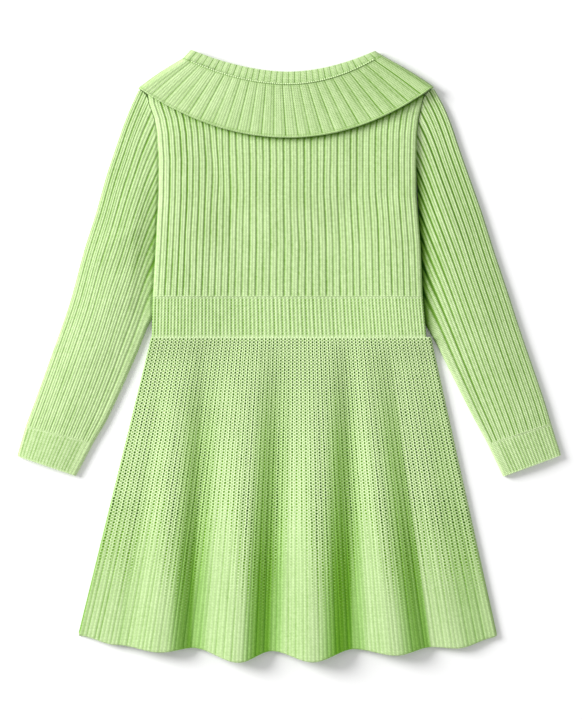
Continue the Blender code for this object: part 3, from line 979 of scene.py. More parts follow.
@dataclass
class KnitPiece:
    """One piece of the dress: a closed wall between a ribbed and a plain face.

    A subclass gives its columns, its rows and where each of its points lies.
    """

    plan: DressPlan
    name: str
    node: str
    slot: str
    finish: KnitFinish
    course_mm: float = 1.7
    closed: bool = False
    known: dict[object, object] = field(default_factory=dict)

    def once(self, key: object, work: Callable[[], object]) -> object:
        """Works something out the first time that it is asked for, and keeps it.

        Args:
            key: What it is.
            work: Works it out.

        Returns:
            The result.
        """
        if key not in self.known:
            self.known[key] = work()
        return self.known[key]

    def columns(self) -> list[float]:
        """Returns the column places, from 0 to 1, or to 2 right round a closed piece."""
        raise NotImplementedError

    def rows(self) -> list[float]:
        """Returns the row places, from 0 to 1."""
        raise NotImplementedError

    def spot(self, skin: Skin, u: float, v: float) -> Spot:
        """Returns where the point at u and v of one face lies."""
        raise NotImplementedError

    def groove(self, u: float, v: float) -> float:
        """Returns the painted shade: how deep in shade the yarn lies, from 0 on a ridge to 1."""
        return 0.0

    def openwork(self, u: float, v: float) -> float:
        """Returns how open the stitches are, from 0 to 1."""
        return 0.0

    def folded(self, u: float, v: float) -> float:
        """Returns the painted fold shade: how much of the light comes through other cloth, painted
        as a deeper green, from 0 to 1.
        """
        return 0.0

    def ribs_and_courses(self, u: float, v: float) -> tuple[float, float]:
        """Returns the number of the rib and of the course at u and v."""
        raise NotImplementedError

    def build(self) -> bpy.types.Object:
        """Builds the piece and hands it to the frame.

        Returns:
            The finished object.
        """
        columns, rows = self.columns(), self.rows()
        steps, lines = len(columns) - 1, len(rows) - 1
        bm = bmesh.new()
        uv_layer = bm.loops.layers.uv.new(UV_NAME)
        store = bm.verts.layers.float
        names = (*PLACE_NAMES, PAINTED_SHADE_NAME, OPEN_NAME, FOLD_SHADE_NAME)
        layers = [store.new(key) for key in names]
        bmesh.ops.create_grid(bm, x_segments=steps, y_segments=lines, size=1.0)
        for vert in bm.verts:
            u = columns[round((vert.co.x + 1.0) * 0.5 * steps)]
            v = rows[round((vert.co.y + 1.0) * 0.5 * lines)]
            values = (u, v, self.groove(u, v), self.openwork(u, v), self.folded(u, v))
            for layer, value in zip(layers, values):
                vert[layer] = value
            place = self.ribs_and_courses(u, v)
            for loop in vert.link_loops:
                loop[uv_layer].uv = place
        if self.closed:
            self._join(bm, steps)
        outer = list(bm.verts)
        made = bmesh.ops.extrude_face_region(bm, geom=bm.faces[:], use_keep_orig=True)
        inner = [part for part in made["geom"] if isinstance(part, bmesh.types.BMVert)]
        for skin, verts in ((Skin.OUTER, outer), (Skin.INNER, inner)):
            for vert in verts:
                spot = self.spot(skin, vert[layers[0]], vert[layers[1]])
                vert.co = to_world(spot, self.plan)
        bmesh.ops.recalc_face_normals(bm, faces=bm.faces[:])
        return self._hand_over(bm)

    def _join(self, bm: bmesh.types.BMesh, steps: int) -> None:
        """Joins the last column of a grid to its first.

        Args:
            bm: The mesh, still a flat grid.
            steps: How many steps the grid has across.
        """
        first, last = {}, {}
        for vert in bm.verts:
            i = round((vert.co.x + 1.0) * 0.5 * steps)
            if i in (0, steps):
                (first if i == 0 else last)[round(vert.co.y, 5)] = vert
        bmesh.ops.weld_verts(bm, targetmap={last[row]: first[row] for row in last})

    def _hand_over(self, bm: bmesh.types.BMesh) -> bpy.types.Object:
        """Turns the bmesh into an object that rides on the dress and replaces its solid.

        Args:
            bm: The finished mesh, which is freed.

        Returns:
            The new object.
        """
        for key in PLACE_NAMES:
            bm.verts.layers.float.remove(bm.verts.layers.float[key])
        piece = finish_piece(bm, self.name, self.finish, self.slot)
        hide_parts(self.node)
        return piece


def to_world(spot: Spot, plan: DressPlan) -> Vector:
    """Gives the frame's position of a spot on the dress.

    Args:
        spot: The spot, in millimetres.
        plan: The dress, for its length.

    Returns:
        The position in metres.
    """
    return Vector((spot.x * MM, (plan.length * 0.5 - spot.down) * MM, spot.z * MM))


def finish_piece(
    bm: bmesh.types.BMesh, name: str, finish: KnitFinish, slot: str
) -> bpy.types.Object:
    """Makes an object of a mesh, dresses it and lets it ride on the dress.

    Args:
        bm: The mesh, which is freed.
        name: The piece's name.
        finish: What it is knitted of.
        slot: The record's slot for its finish; not used.

    Returns:
        The new object.
    """
    mesh = bpy.data.meshes.new(name)
    bm.to_mesh(mesh)
    bm.free()
    mesh.shade_smooth()
    mesh.materials.append(finish.make())
    piece = bpy.data.objects.new(name, mesh)
    bpy.context.scene.collection.objects.link(piece)
    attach(piece, "root")
    LOG.info("%s: %d faces", name, len(mesh.polygons))
    return piece


def closer_at_ends(near: Sequence[float], count: int) -> list[float]:
    """Spaces rows or columns evenly, with closer ones at both ends.

    Args:
        near: The places of the close ones at the first end.
        count: How many even steps the whole length has.

    Returns:
        The places, from 0 to 1.
    """
    inside = [share for share in even(count) if near[-1] < share < 1.0 - near[-1]]
    return [*near, *inside, *(1.0 - share for share in reversed(near))]


def seam_fade(distance: float, reach: float = 1.8) -> float:
    """Returns how far the grooves have filled up near a seam, 0 on it and 1 away."""
    return smooth(distance / reach)


# The pieces ------------------------------------------------------------------------------


@dataclass
class Panel(KnitPiece):
    """A panel of the body, from one side seam to the other."""

    profile: RibProfile = WIDE_RIB

    def lay_out(self, u: float, v: float) -> tuple[float, float]:
        """Returns x and down at shares u and v of the panel."""
        raise NotImplementedError

    def width(self, v: float) -> float:
        """Returns how wide the panel is at v."""
        return self.once(v, lambda: self.lay_out(1.0, v)[0] - self.lay_out(0.0, v)[0])

    def length(self) -> float:
        """Returns how long the panel is down its middle."""
        return self.once("length", lambda: self.lay_out(0.5, 1.0)[1] - self.lay_out(0.5, 0.0)[1])

    def ribs_and_courses(self, u: float, v: float) -> tuple[float, float]:
        """Returns the number of the rib and of the course at u and v."""
        return u * self.profile.ribs, self.lay_out(u, v)[1] / self.course_mm


@dataclass
class BackPanel(Panel):
    """A panel of the back, rounded off along its side seams."""

    row_count: int = 60
    seam_rows: tuple[float, ...] = (0.0, 0.0015, 0.004, 0.008, 0.013)
    edge_round: float = 2.4
    crest: float = 3.0
    # edge_shades is painted shade along the left and the right side, reaching edge_reach in.
    edge_shades: tuple[float, float] = (0.3, 0.3)
    edge_reach: float = 5.0
    creases: tuple[Crease, ...] = ()

    def extra_lift(self, x: float, down: float, v: float) -> float:
        """Returns what folds and creases add to the height."""
        return sum(crease.lift(x, down) for crease in self.creases)

    def columns(self) -> list[float]:
        """Returns the column places."""
        return self.profile.columns()

    def rows(self) -> list[float]:
        """Returns the row places, closer at both seams."""
        return closer_at_ends(self.seam_rows, self.row_count)

    def seams(self, v: float) -> float:
        """Returns how full the grooves are at v, 0 on a seam and 1 away from both."""
        return seam_fade(min(v, 1.0 - v) * self.length())

    def turned_edge(self, v: float) -> float:
        """Returns how far the cloth has turned down towards a free edge."""
        return 0.0

    def relief(self, u: float, v: float) -> float:
        """Returns the ribs' height at u and v, as a share of the full height."""
        return mix(1.0, self.profile.relief(u), self.seams(v))

    def groove(self, u: float, v: float) -> float:
        """Returns the painted shade, in the grooves and along the sides."""
        edge = self.edge_shades[0 if u < 0.5 else 1]
        edge *= 1.0 - smooth(min(u, 1.0 - u) * self.width(v) / self.edge_reach)
        return self.profile.shade * max(0.0, 1.0 - self.relief(u, v)) + edge

    def spot(self, skin: Skin, u: float, v: float) -> Spot:
        """Returns where the point at u and v of one face lies."""
        x, down = self.lay_out(u, v)
        z = self.plan.back_rest(x, down) + self.extra_lift(x, down, v)
        if skin is Skin.INNER:
            return Spot(x, down, z)
        side = round_off(min(u, 1.0 - u) * self.width(v), self.edge_round)
        full = self.crest + self.profile.height * (self.relief(u, v) - 1.0)
        full -= self.turned_edge(v)
        return Spot(x, down, z + mix(self.plan.edge, full, side))


@dataclass
class BackBodice(BackPanel):
    """The back of the bodice, in wide ribs that lie more open from the left to the middle.

    sways are ribs that bend a little: x, down and how far. depths is how dark the painted
    shade in the grooves is at the left side and from open_from on, right_shade is painted
    shade that deepens towards the right, and collar_shades is how dark the collar's painted
    shadow is at the left and at the right.
    """

    edge_round: float = 4.5
    edge_shades: tuple[float, float] = (0.14, 0.16)
    sways: tuple[tuple[float, float, float], ...] = (
        (-74.0, 122.0, 1.7), (-63.0, 108.0, -1.3), (-50.0, 140.0, 0.9), (40.0, 130.0, -0.8),
        (88.0, 165.0, 0.9), (-96.0, 190.0, -0.8), (10.0, 200.0, 0.7),
    )
    sway_reach: tuple[float, float] = (9.0, 24.0)
    painted_groove_shades: tuple[float, float] = (1.3, 0.85)
    open_from: float = 0.45
    first_groove: float = 0.35
    right_shade: float = 0.1
    collar_shades: tuple[float, float] = (0.3, 1.5)
    collar_reach: float = 2.2
    shadow_start: float = 0.02
    shadow_step: float = 0.0062
    shadow_rows: int = 46

    def lay_out(self, u: float, v: float) -> tuple[float, float]:
        """Returns x and down at shares u and v, where some ribs sway a little."""
        x, down = self.plan.bodice(u, v)
        wide, long = self.sway_reach
        for at_x, at_down, sway in self.sways:
            x += sway * math.exp(-(((x - at_x) / wide) ** 2) - ((down - at_down) / long) ** 2)
        return x, down

    def groove(self, u: float, v: float) -> float:
        """Returns the painted shade, deeper towards the right, with the collar's painted shadow
        under its edge.
        """
        shade = super().groove(u, v) * mix(*self.painted_groove_shades, smooth(u / self.open_from))
        shade += self.right_shade * ramp(u, 0.0, 0.5)
        shade *= mix(self.first_groove, 1.0, ramp(u * self.profile.ribs, 1.3, 1.5))
        x, down = self.lay_out(u, v)
        below = max(0.0, down - self.plan.collar_edge.down(x))
        return shade + mix(*self.collar_shades, u) * math.exp(-below / self.collar_reach)

    def rows(self) -> list[float]:
        """Returns the row places, closer where the collar's painted shadow lies."""
        close = [self.shadow_start + self.shadow_step * row for row in range(self.shadow_rows)]
        gone = close[-1] + self.shadow_step
        return sorted(close + [v for v in super().rows() if not self.seam_rows[-1] < v < gone])


@dataclass
class BackWaistband(BackPanel):
    """The back of the waistband, in fine ribs."""

    profile: RibProfile = FINE_RIB
    row_count: int = 16
    crest: float = 2.7

    def lay_out(self, u: float, v: float) -> tuple[float, float]:
        """Returns x and down at shares u and v of the band."""
        return self.plan.waist(u, v)


@dataclass
class BackSkirt(BackPanel):
    """The back of the skirt: mesh above, plain fine ribs towards the hem, in five flutes.

    A flute gets painted shade where it falls away to the right and in its foot, as the
    painted green of light that has come through other cloth, and, faintly, where it climbs.
    line_shades is how dark the painted shade in the fine lines is at the left side and from
    left_share on. A span gives the shares of the length between which something grows to its
    full.
    """

    profile: RibProfile = SKIRT_RIB
    row_count: int = 86
    crest: float = 2.7
    mesh_fades: tuple[float, float] = (0.5, 0.92)
    fall_shade: float = 1.0
    foot_shade: float = 0.6
    rise_shade: float = 0.15
    rise_span: tuple[float, float] = (0.2, 0.9)
    line_shades: tuple[float, float] = (1.55, 0.75)
    left_share: float = 0.22
    fall_lines: float = 0.9
    hem_tone: float = 0.28
    hem_tone_span: tuple[float, float] = (0.45, 0.85)
    rib_span: tuple[float, float] = (0.35, 0.8)
    mesh_rib: float = 0.12
    foot_lift: float = 4.0
    foot_lifts: tuple[float, float] = (3.0, 9.0)
    fold_from: float = 0.45
    upper_fold: float = 0.7
    fold_span: tuple[float, float] = (0.4, 0.8)
    hem_turn: tuple[float, float] = (1.5, 1.6)
    mesh_shift: float = 0.12
    mesh_start: float = 0.008
    mesh_pulled: float = 0.4

    def lay_out(self, u: float, v: float) -> tuple[float, float]:
        """Returns x and down at shares u and v of the skirt."""
        return self.plan.skirt(u, v)

    def extra_lift(self, x: float, down: float, v: float) -> float:
        """Returns what the flutes and creases add to the height."""
        flutes = self.plan.flute(x, v) * v**self.plan.fold_growth
        return flutes + super().extra_lift(x, down, v)

    def relief(self, u: float, v: float) -> float:
        """Returns the ribs' height: low in the mesh, full towards the hem."""
        strength = mix(self.mesh_rib, 1.0, ramp(v, *self.rib_span))
        return mix(1.0, self.profile.relief(u), self.seams(v) * strength)

    def groove(self, u: float, v: float) -> float:
        """Returns the painted shade, darker where a flute falls away, faintly where it climbs, and
        deeper towards the hem.
        """
        slope = self.plan.slope(self.lay_out(u, v)[0], v)
        rise = self.rise_shade * max(0.0, slope) * ramp(v, *self.rise_span)
        deeper = mix(*self.line_shades, smooth(u / self.left_share))
        lines = super().groove(u, v) * (deeper + self.fall_lines * max(0.0, -slope))
        return lines + rise + self.hem_tone * ramp(v, *self.hem_tone_span)

    def folded(self, u: float, v: float) -> float:
        """Returns the painted fold shade, a deeper green: most where a flute falls away, and in
        its foot.
        """
        plan, x = self.plan, self.lay_out(u, v)[0]
        left, right, _ = plan.stretch(x, v)
        foot = 1.0 - smooth(plan.flute(x, v) / self.foot_lift)
        foot *= self.foot_shade * ramp(max(left.lift, right.lift), *self.foot_lifts)
        fall = self.fall_shade * max(0.0, -plan.slope(x, v))
        grown = smooth(v / self.fold_from) * mix(self.upper_fold, 1.0, ramp(v, *self.fold_span))
        return min(1.0, fall + foot) * grown

    def turned_edge(self, v: float) -> float:
        """Returns how far the cloth has turned down at the hem."""
        depth, reach = self.hem_turn
        return depth * (1.0 - round_off((1.0 - v) * self.length(), reach))

    def openwork(self, u: float, v: float) -> float:
        """Returns how open the mesh is: it closes towards the hem and at the seams."""
        slope = self.plan.slope(self.lay_out(u, v)[0], v) * smooth(v / self.fold_from)
        fade = 1.0 - ramp(v + self.mesh_shift * slope, *self.mesh_fades)
        return fade * smooth(v / self.mesh_start) * (1.0 - self.mesh_pulled * abs(slope))


@dataclass
class FrontPanel(Panel):
    """A hidden panel of the front, plain and flat underneath."""

    lay_out: Callable[[float, float], tuple[float, float]] = lambda u, v: (u, v)
    column_count: int = 82
    row_count: int = 30
    edge_round: float = 1.5
    shade: float = 0.35

    def columns(self) -> list[float]:
        """Returns the column places, closer at both sides."""
        return closer_at_ends((0.0, 0.003, 0.008), self.column_count)

    def rows(self) -> list[float]:
        """Returns the row places."""
        return even(self.row_count)

    def groove(self, u: float, v: float) -> float:
        """Returns the painted shade: a pale ridge and a shaded groove in turn."""
        return self.shade * (0.5 + 0.5 * math.cos(2.0 * math.pi * u * self.profile.ribs))

    def spot(self, skin: Skin, u: float, v: float) -> Spot:
        """Returns where the point at u and v of one face lies."""
        x, down = self.lay_out(u, v)
        z = self.plan.under_body(x, down)
        if skin is Skin.INNER:
            return Spot(x, down, z + self.plan.cloth)
        side = round_off(min(u, 1.0 - u) * self.width(v), self.edge_round)
        return Spot(x, down, z + (self.plan.cloth - self.plan.edge) * (1.0 - side))


@dataclass
class FoldedPiece(KnitPiece):
    """A piece that is folded flat: an upper layer, a lower one and a fold at each end."""

    closed: bool = True
    profile: RibProfile = SLEEVE_RIB
    row_count: int = 60
    crest: float = 1.0
    fold: float = 2.6
    tightest_turn: float = 0.8
    fold_columns: tuple[float, ...] = (0.0, 0.006, 0.014, 0.024, 0.036, 0.05, 0.08)
    under_count: int = 16
    end_rows: tuple[float, ...] = (0.0, 0.0012, 0.005, 0.011)
    under_shade: float = 0.1

    def columns(self) -> list[float]:
        """Returns the columns: 0 to 1 on top, and 1 to 2 back underneath."""
        under = closer_at_ends(self.fold_columns, self.under_count)
        near = self.fold_columns[1:5]
        top = sorted({*self.profile.columns(), *near, *(1.0 - share for share in near)})
        return top + [2.0 - u for u in reversed(under[:-1])]

    def rows(self) -> list[float]:
        """Returns the row places, closer at both ends."""
        return closer_at_ends(self.end_rows, self.row_count)

    def lens(
        self, skin: Skin, lower: bool, distance: float, middle: float, top: float, cloth: float
    ) -> float:
        """Gives the height of a folded-over layer near its fold.

        Args:
            skin: Outer or inner face.
            lower: Whether this is the lower layer.
            distance: Distance from the fold.
            middle: Height of the fold.
            top: Height of the upper layer's outer face away from the fold.
            cloth: Thickness of the cloth.

        Returns:
            The height in millimetres.
        """
        if skin is Skin.OUTER:
            return mix(middle, 0.0 if lower else top, round_off(distance, self.fold))
        turn = round_off(distance - cloth, max(self.tightest_turn, self.fold - cloth))
        return mix(middle, cloth if lower else top - cloth, turn)


@dataclass
class NeckPiece(FoldedPiece):
    """A ring round the neck, folded at the shoulders, with its front underneath.

    middle is the height at which it folds, and end_shade is how much painted shade darkens it
    where it turns down at the left fold.
    """

    middle: float = 5.0
    end_shade: float = 0.5
    end_reach: float = 0.04

    def lay_out(self, u: float, v: float, lower: bool) -> tuple[float, float]:
        """Returns x and down at u and v of one layer."""
        raise NotImplementedError

    def left_end(self, u: float) -> float:
        """Returns the painted shade at the left fold."""
        return self.end_shade * (1.0 - round_off(u, self.end_reach))

    def place(
        self, skin: Skin, u: float, v: float, cloth: float
    ) -> tuple[float, float, float, float]:
        """Finds where a point lies, seen from above.

        Args:
            skin: Outer or inner face.
            u: 0 to 1 on top, and 1 to 2 back underneath.
            v: Share of the way from the upper edge to the lower one.
            cloth: Thickness of the cloth.

        Returns:
            The share of its layer's width, x, down, and the distance from the nearer fold.
        """
        lower = u > 1.0
        share = 2.0 - u if lower else u
        if skin is Skin.INNER:
            width = self.once(
                (v, lower),
                lambda: math.dist(self.lay_out(0.0, v, lower), self.lay_out(1.0, v, lower)),
            )
            share = mix(cloth / width, 1.0 - cloth / width, share)
        x, down = self.lay_out(share, v, lower)
        ends = ((self.lay_out(e, 0.0, lower), self.lay_out(e, 1.0, lower)) for e in (0.0, 1.0))
        return share, x, down, min(from_line((x, down), *end) for end in ends)


@dataclass
class Collar(NeckPiece):
    """The cape collar: wide flat ribs and a bound edge.

    stitched is the line of stitching along the binding: its strength, its distance from the
    edge and its width. linked is the painted shade beside the linking chain at the neck seam:
    its strength and its width. shades is how dark the painted shade in its grooves is at the
    left and at the right, and right_shade is painted shade that deepens towards the right.
    """

    profile: RibProfile = COLLAR_RIB
    row_count: int = 26
    seam_rows: tuple[float, ...] = (0.0, 0.01, 0.02)
    even_to: float = 0.93
    edge_rows: tuple[float, ...] = (
        0.945, 0.955, 0.963, 0.970, 0.977, 0.984, 0.991, 0.996, 1.0,
    )
    fold: float = 5.0
    middle: float = 5.5
    stand: float = 1.5
    bead: float = 0.5
    bead_at: float = 0.9
    bead_width: float = 1.6
    edge_round: float = 1.1
    bulge: float = 2.0
    bulge_power: int = 9
    seam_height: float = 0.85
    seam_reach: float = 2.0
    binding: float = 1.2
    shades: tuple[float, float] = (0.55, 0.95)
    right_shade: float = 0.16
    end_shade: float = 0.3
    end_reach: float = 0.045
    stitched: tuple[float, float, float] = (0.3, 2.3, 0.6)
    linked: tuple[float, float] = (0.5, 1.5)

    def lay_out(self, u: float, v: float, lower: bool) -> tuple[float, float]:
        """Returns x and down at u and v of one layer."""
        drop = self.plan.front_neck_drop if lower else 0.0
        seam = self.plan.neck_seam.point(u, drop)
        edge = self.plan.collar_edge.point(u, drop)
        return mix(seam[0], edge[0], v), mix(seam[1] + self.plan.seam * 0.5, edge[1], v)

    def run(self, u: float, lower: bool = False) -> float:
        """Returns the collar's depth from seam to edge along the rib at u."""
        return math.dist(self.lay_out(u, 0.0, lower), self.lay_out(u, 1.0, lower))

    def rows(self) -> list[float]:
        """Returns the row places, closest at the bound edge."""
        first, last = self.seam_rows[-1], self.even_to
        inside = [share for share in even(self.row_count) if first < share < last]
        return [*self.seam_rows, *inside, *self.edge_rows]

    def relief(self, u: float, v: float) -> float:
        """Returns the ribs' height at u and v, as a share of the full height."""
        run = self.run(u)
        fade = seam_fade(v * run, self.seam_reach)
        fade *= seam_fade((1.0 - v) * run - self.binding, self.binding)
        return mix(self.seam_height, self.profile.relief(u), fade)

    def groove(self, u: float, v: float) -> float:
        """Returns the painted shade, deeper towards the right and at the left fold, with the line
        of stitching and the painted shade beside the chain.
        """
        if u > 1.0:
            return self.under_shade
        run = self.run(u)
        strength, place, width = self.stitched
        stitched = strength * math.exp(-((((1.0 - v) * run - place) / width) ** 2))
        strength, width = self.linked
        linked = strength * math.exp(-((v * run / width) ** 2))
        grooved = mix(*self.shades, u) * max(0.0, 1.0 - self.relief(u, v))
        return max(grooved, stitched, linked) + self.right_shade * u + self.left_end(u)

    def ribs_and_courses(self, u: float, v: float) -> tuple[float, float]:
        """Returns the number of the rib and of the course at u and v."""
        flat = 2.0 - u if u > 1.0 else u
        return u * self.profile.ribs, v * self.run(flat, u > 1.0) / self.course_mm

    def spot(self, skin: Skin, u: float, v: float) -> Spot:
        """Returns where the point at u and v of one face lies."""
        plan, lower = self.plan, u > 1.0
        share, x, down, distance = self.place(skin, u, v, plan.cloth)
        foot = plan.back_rest(x, down) + 2.0 * plan.cloth + plan.rib + plan.lay
        foot += self.stand * v**3
        z = self.lens(skin, lower, distance, self.middle, foot, plan.cloth)
        if skin is Skin.OUTER and not lower:
            to_edge = (1.0 - v) * self.run(share)
            beyond = (to_edge - self.bead_at) / (self.bead_width * 0.5)
            ribs = self.crest + self.profile.height * (self.relief(share, v) - 1.0)
            ribs += self.bead * math.exp(-(beyond**2))
            ribs -= self.edge_round * (1.0 - round_off(to_edge, self.edge_round))
            z += ribs * round_off(distance, self.fold)
        bulge = math.sin(math.pi * v) * (2.0 * share - 1.0) ** self.bulge_power
        return Spot(x + self.bulge * bulge, down, z)


@dataclass
class Neckband(NeckPiece):
    """The folded strip that stands round the neck opening."""

    profile: RibProfile = NECK_RIB
    row_count: int = 14
    fold: float = 4.5
    middle: float = 4.75
    depth: float = 13.0
    thickness: float = 4.0
    rest: float = 4.5
    flank: float = 0.8
    roll: tuple[float, float] = (0.15, 0.85)
    end_shade: float = 0.6
    end_reach: float = 0.03

    def lay_out(self, u: float, v: float, lower: bool) -> tuple[float, float]:
        """Returns x and down at u and v of one layer."""
        drop = self.plan.front_neck_drop if lower else 0.0
        top = self.plan.neck_top.point(u, drop)
        seam = self.plan.neck_seam.point(u, drop)
        return mix(top[0], seam[0], v), mix(top[1], seam[1] - self.plan.seam, v)

    def groove(self, u: float, v: float) -> float:
        """Returns the painted shade, in the grooves and at the left fold."""
        if u > 1.0:
            return self.under_shade
        return self.profile.shade * max(0.0, 1.0 - self.profile.relief(u)) + self.left_end(u)

    def ribs_and_courses(self, u: float, v: float) -> tuple[float, float]:
        """Returns the number of the rib and of the course at u and v."""
        return u * self.profile.ribs, v * self.depth / self.course_mm

    def spot(self, skin: Skin, u: float, v: float) -> Spot:
        """Returns where the point at u and v of one face lies."""
        lower, cloth = u > 1.0, self.thickness * self.flank
        share, x, down, distance = self.place(skin, u, v, cloth)
        bulge = math.sin(math.pi * mix(*self.roll, v))
        foot = self.rest + self.thickness * mix(self.flank, 1.0, bulge)
        z = self.lens(skin, lower, distance, self.middle, foot, cloth)
        if skin is Skin.OUTER and not lower:
            ribs = self.crest + self.profile.height * (self.profile.relief(share) - 1.0)
            z += ribs * round_off(distance, self.fold)
        return Spot(x, down, z)


def from_line(
    point: tuple[float, float], start: tuple[float, float], end: tuple[float, float]
) -> float:
    """Returns the distance of a point from the line through start and end."""
    along = (end[0] - start[0], end[1] - start[1])
    across = (point[0] - start[0]) * along[1] - (point[1] - start[1]) * along[0]
    return abs(across) / math.hypot(*along)


@dataclass
class Sleeve(FoldedPiece):
    """A sleeve or a cuff: a tube lying flat, open at both ends.

    A sleeve starts along the body's side and then a little under it, and its ribs run
    nearly straight from there to the cuff. gather is how much closer they start together
    at the shoulder than below. As far down as sewn_to it is sewn edge to edge to the body,
    where it turns down more softly and seam_light makes it paler with painted light. hollow
    is its painted shade where it slips under the body, shades is how dark the painted shade
    in its grooves is above and below, and edge_shade is painted shade along its outer edge.
    """

    side: Side = Side.LEFT
    cut: SleeveCut | None = None
    armhole: bool = True
    gather: float = 1.85
    layer_gap: float = 0.6
    swell_reach: float = 25.0
    clear: tuple[float, float] = (0.8, 2.5)
    corner: float = 0.05
    tuck: float = 5.0
    tucks: tuple[float, float] = (74.0, 124.0)
    armhole_seam: float = 0.5
    cuff_seam: float = 0.2
    sewn_to: tuple[float, float] = (62.0, 74.0)
    sewn_turn: float = 2.5
    seam_light: float = 0.35
    seam_light_drop: float = 30.0
    seam_light_reach: float = 3.5
    plain_inner: float = 0.07
    plain_fade: float = 0.03
    plain_height: float = 0.9
    edge_shade: float = 0.25
    edge_reach: float = 4.0
    axis: tuple[float, float] = (0.37, 0.93)
    hollow: Hollow = Hollow()
    shades: tuple[float, float] = (0.7, 0.7)
    shades_from: tuple[float, float] = (120.0, 320.0)
    flat_to: tuple[float, float] = (95.0, 190.0)
    flat_swell: float = 0.35
    creases: tuple[Crease, ...] = ()

    def start(self, u: float) -> tuple[float, float]:
        """Returns x, counted outwards, and down of the piece's upper edge at share u."""
        (top, outer), (bottom, inner) = self.cut.outer[0], self.cut.inner[0]
        if not self.armhole:
            return mix(outer, inner, u), mix(top, bottom, u) + self.cuff_seam * self.plan.seam
        share = u**self.gather
        down = mix(top, bottom, share)
        seam = self.plan.side_at(self.side.value, down) + self.armhole_seam
        shoulder = (outer - seam) * (1.0 - round_off(share, self.corner))
        tucked = ramp(down, *self.tucks) * mix(self.tuck, seam - inner, u)
        return seam + shoulder - tucked, down

    def off_straight(self, line: Line, v: float) -> float:
        """Returns how far an edge lies outside a straight line between its ends."""
        down = mix(line[0][0], line[-1][0], v)
        return read_off(line, down) - mix(line[0][1], line[-1][1], v)

    def lay_out(self, u: float, v: float) -> tuple[float, float]:
        """Returns x, counted outwards, and down at shares u and v."""
        outer, inner = self.cut.outer, self.cut.inner
        x, down = self.once(("start", u), lambda: self.start(u))
        x = mix(x, mix(outer[-1][1], inner[-1][1], u), v)
        x += (1.0 - u) * self.once(("outer", v), lambda: self.off_straight(outer, v))
        x += u * self.once(("inner", v), lambda: self.off_straight(inner, v))
        return x, mix(down, mix(outer[-1][0], inner[-1][0], u), v)

    def width(self, u: float, v: float) -> float:
        """Gives the width at v, square to one of the sleeve's edges.

        Args:
            u: 0 for the outer edge and 1 for the inner one.
            v: Share of the way down the sleeve.

        Returns:
            The width in millimetres.
        """
        near = (max(0.0, v - 0.01), min(1.0, v + 0.01))
        return self.once(
            ("width", u, v),
            lambda: from_line(self.lay_out(1.0 - u, v), *(self.lay_out(u, end) for end in near)),
        )

    def relief(self, u: float, v: float) -> float:
        """Returns the ribs' height at u and v, as a share of the full height."""
        length = self.cut.outer[-1][0] - self.cut.outer[0][0]
        fade = seam_fade(min(v if not self.armhole else 1.0, 1.0 - v) * length)
        plain = smooth((u - 1.0 + self.plain_inner) / self.plain_fade)
        return mix(mix(1.0, self.profile.relief(u), fade), self.plain_height, plain)

    def groove(self, u: float, v: float) -> float:
        """Returns the painted shade: in the grooves, in the hollow under the body and at the outer
        edge, less the painted light along the sewn seam.
        """
        if u > 1.0:
            return self.under_shade
        x, down = self.lay_out(u, v)
        out = x - self.plan.side_at(self.side.value, down)
        edge = self.edge_shade * (1.0 - round_off(u * self.width(0.0, v), self.edge_reach))
        lit = self.seam_light * self.sewn(down - self.seam_light_drop)
        lit *= math.exp(-max(0.0, out) / self.seam_light_reach)
        grooved = mix(*self.shades, ramp(down, *self.shades_from))
        grooved *= max(0.0, 1.0 - self.relief(u, v))
        return grooved + self.hollow.shade(out, down) + edge - lit

    def sewn(self, down: float) -> float:
        """Returns 1 where the sleeve is sewn edge to edge to the body, and 0 below that."""
        return (1.0 - ramp(down, *self.sewn_to)) if self.armhole else 0.0

    def ribs_and_courses(self, u: float, v: float) -> tuple[float, float]:
        """Returns the number of the rib and of the course at u and v."""
        x, down = self.lay_out(2.0 - u if u > 1.0 else u, v)
        along = x * self.axis[0] + down * self.axis[1]
        return u * self.profile.ribs, along / self.course_mm

    def spot(self, skin: Skin, u: float, v: float) -> Spot:
        """Returns where the point at u and v of one face lies."""
        plan, lower = self.plan, u > 1.0
        share = 2.0 - u if lower else u
        outer_width, inner_width = self.width(0.0, v), self.width(1.0, v)
        if skin is Skin.INNER:
            share = mix(plan.cloth / outer_width, 1.0 - plan.cloth / inner_width, share)
        x, down = self.lay_out(share, v)
        crown = read_off(self.cut.crown, down)
        flat = 2.0 * plan.cloth + self.layer_gap
        out = x - plan.side_at(self.side.value, down)
        sewn = self.sewn(down)
        turn = mix(1.0, self.sewn_turn, sewn) if skin is Skin.OUTER else 1.0
        distance = min(share * outer_width, (1.0 - share) * inner_width * turn)
        free = smooth(out / self.swell_reach)
        swell = mix(self.flat_swell, 1.0, ramp(down, *self.flat_to))
        top = flat + swell * crown * math.sin(math.pi * share) * free
        if not lower:
            top += free * sum(crease.lift(x, down) for crease in self.creases)
        z = self.lens(skin, lower, distance, flat * 0.5, top, plan.cloth)
        if skin is Skin.OUTER and not lower:
            bare = max(sewn, ramp(out, *self.clear))
            ribs = self.crest + self.profile.height * (self.relief(share, v) - 1.0)
            z += ribs * round_off(distance, self.fold) * bare
        return Spot(self.side.value * x, down, z)


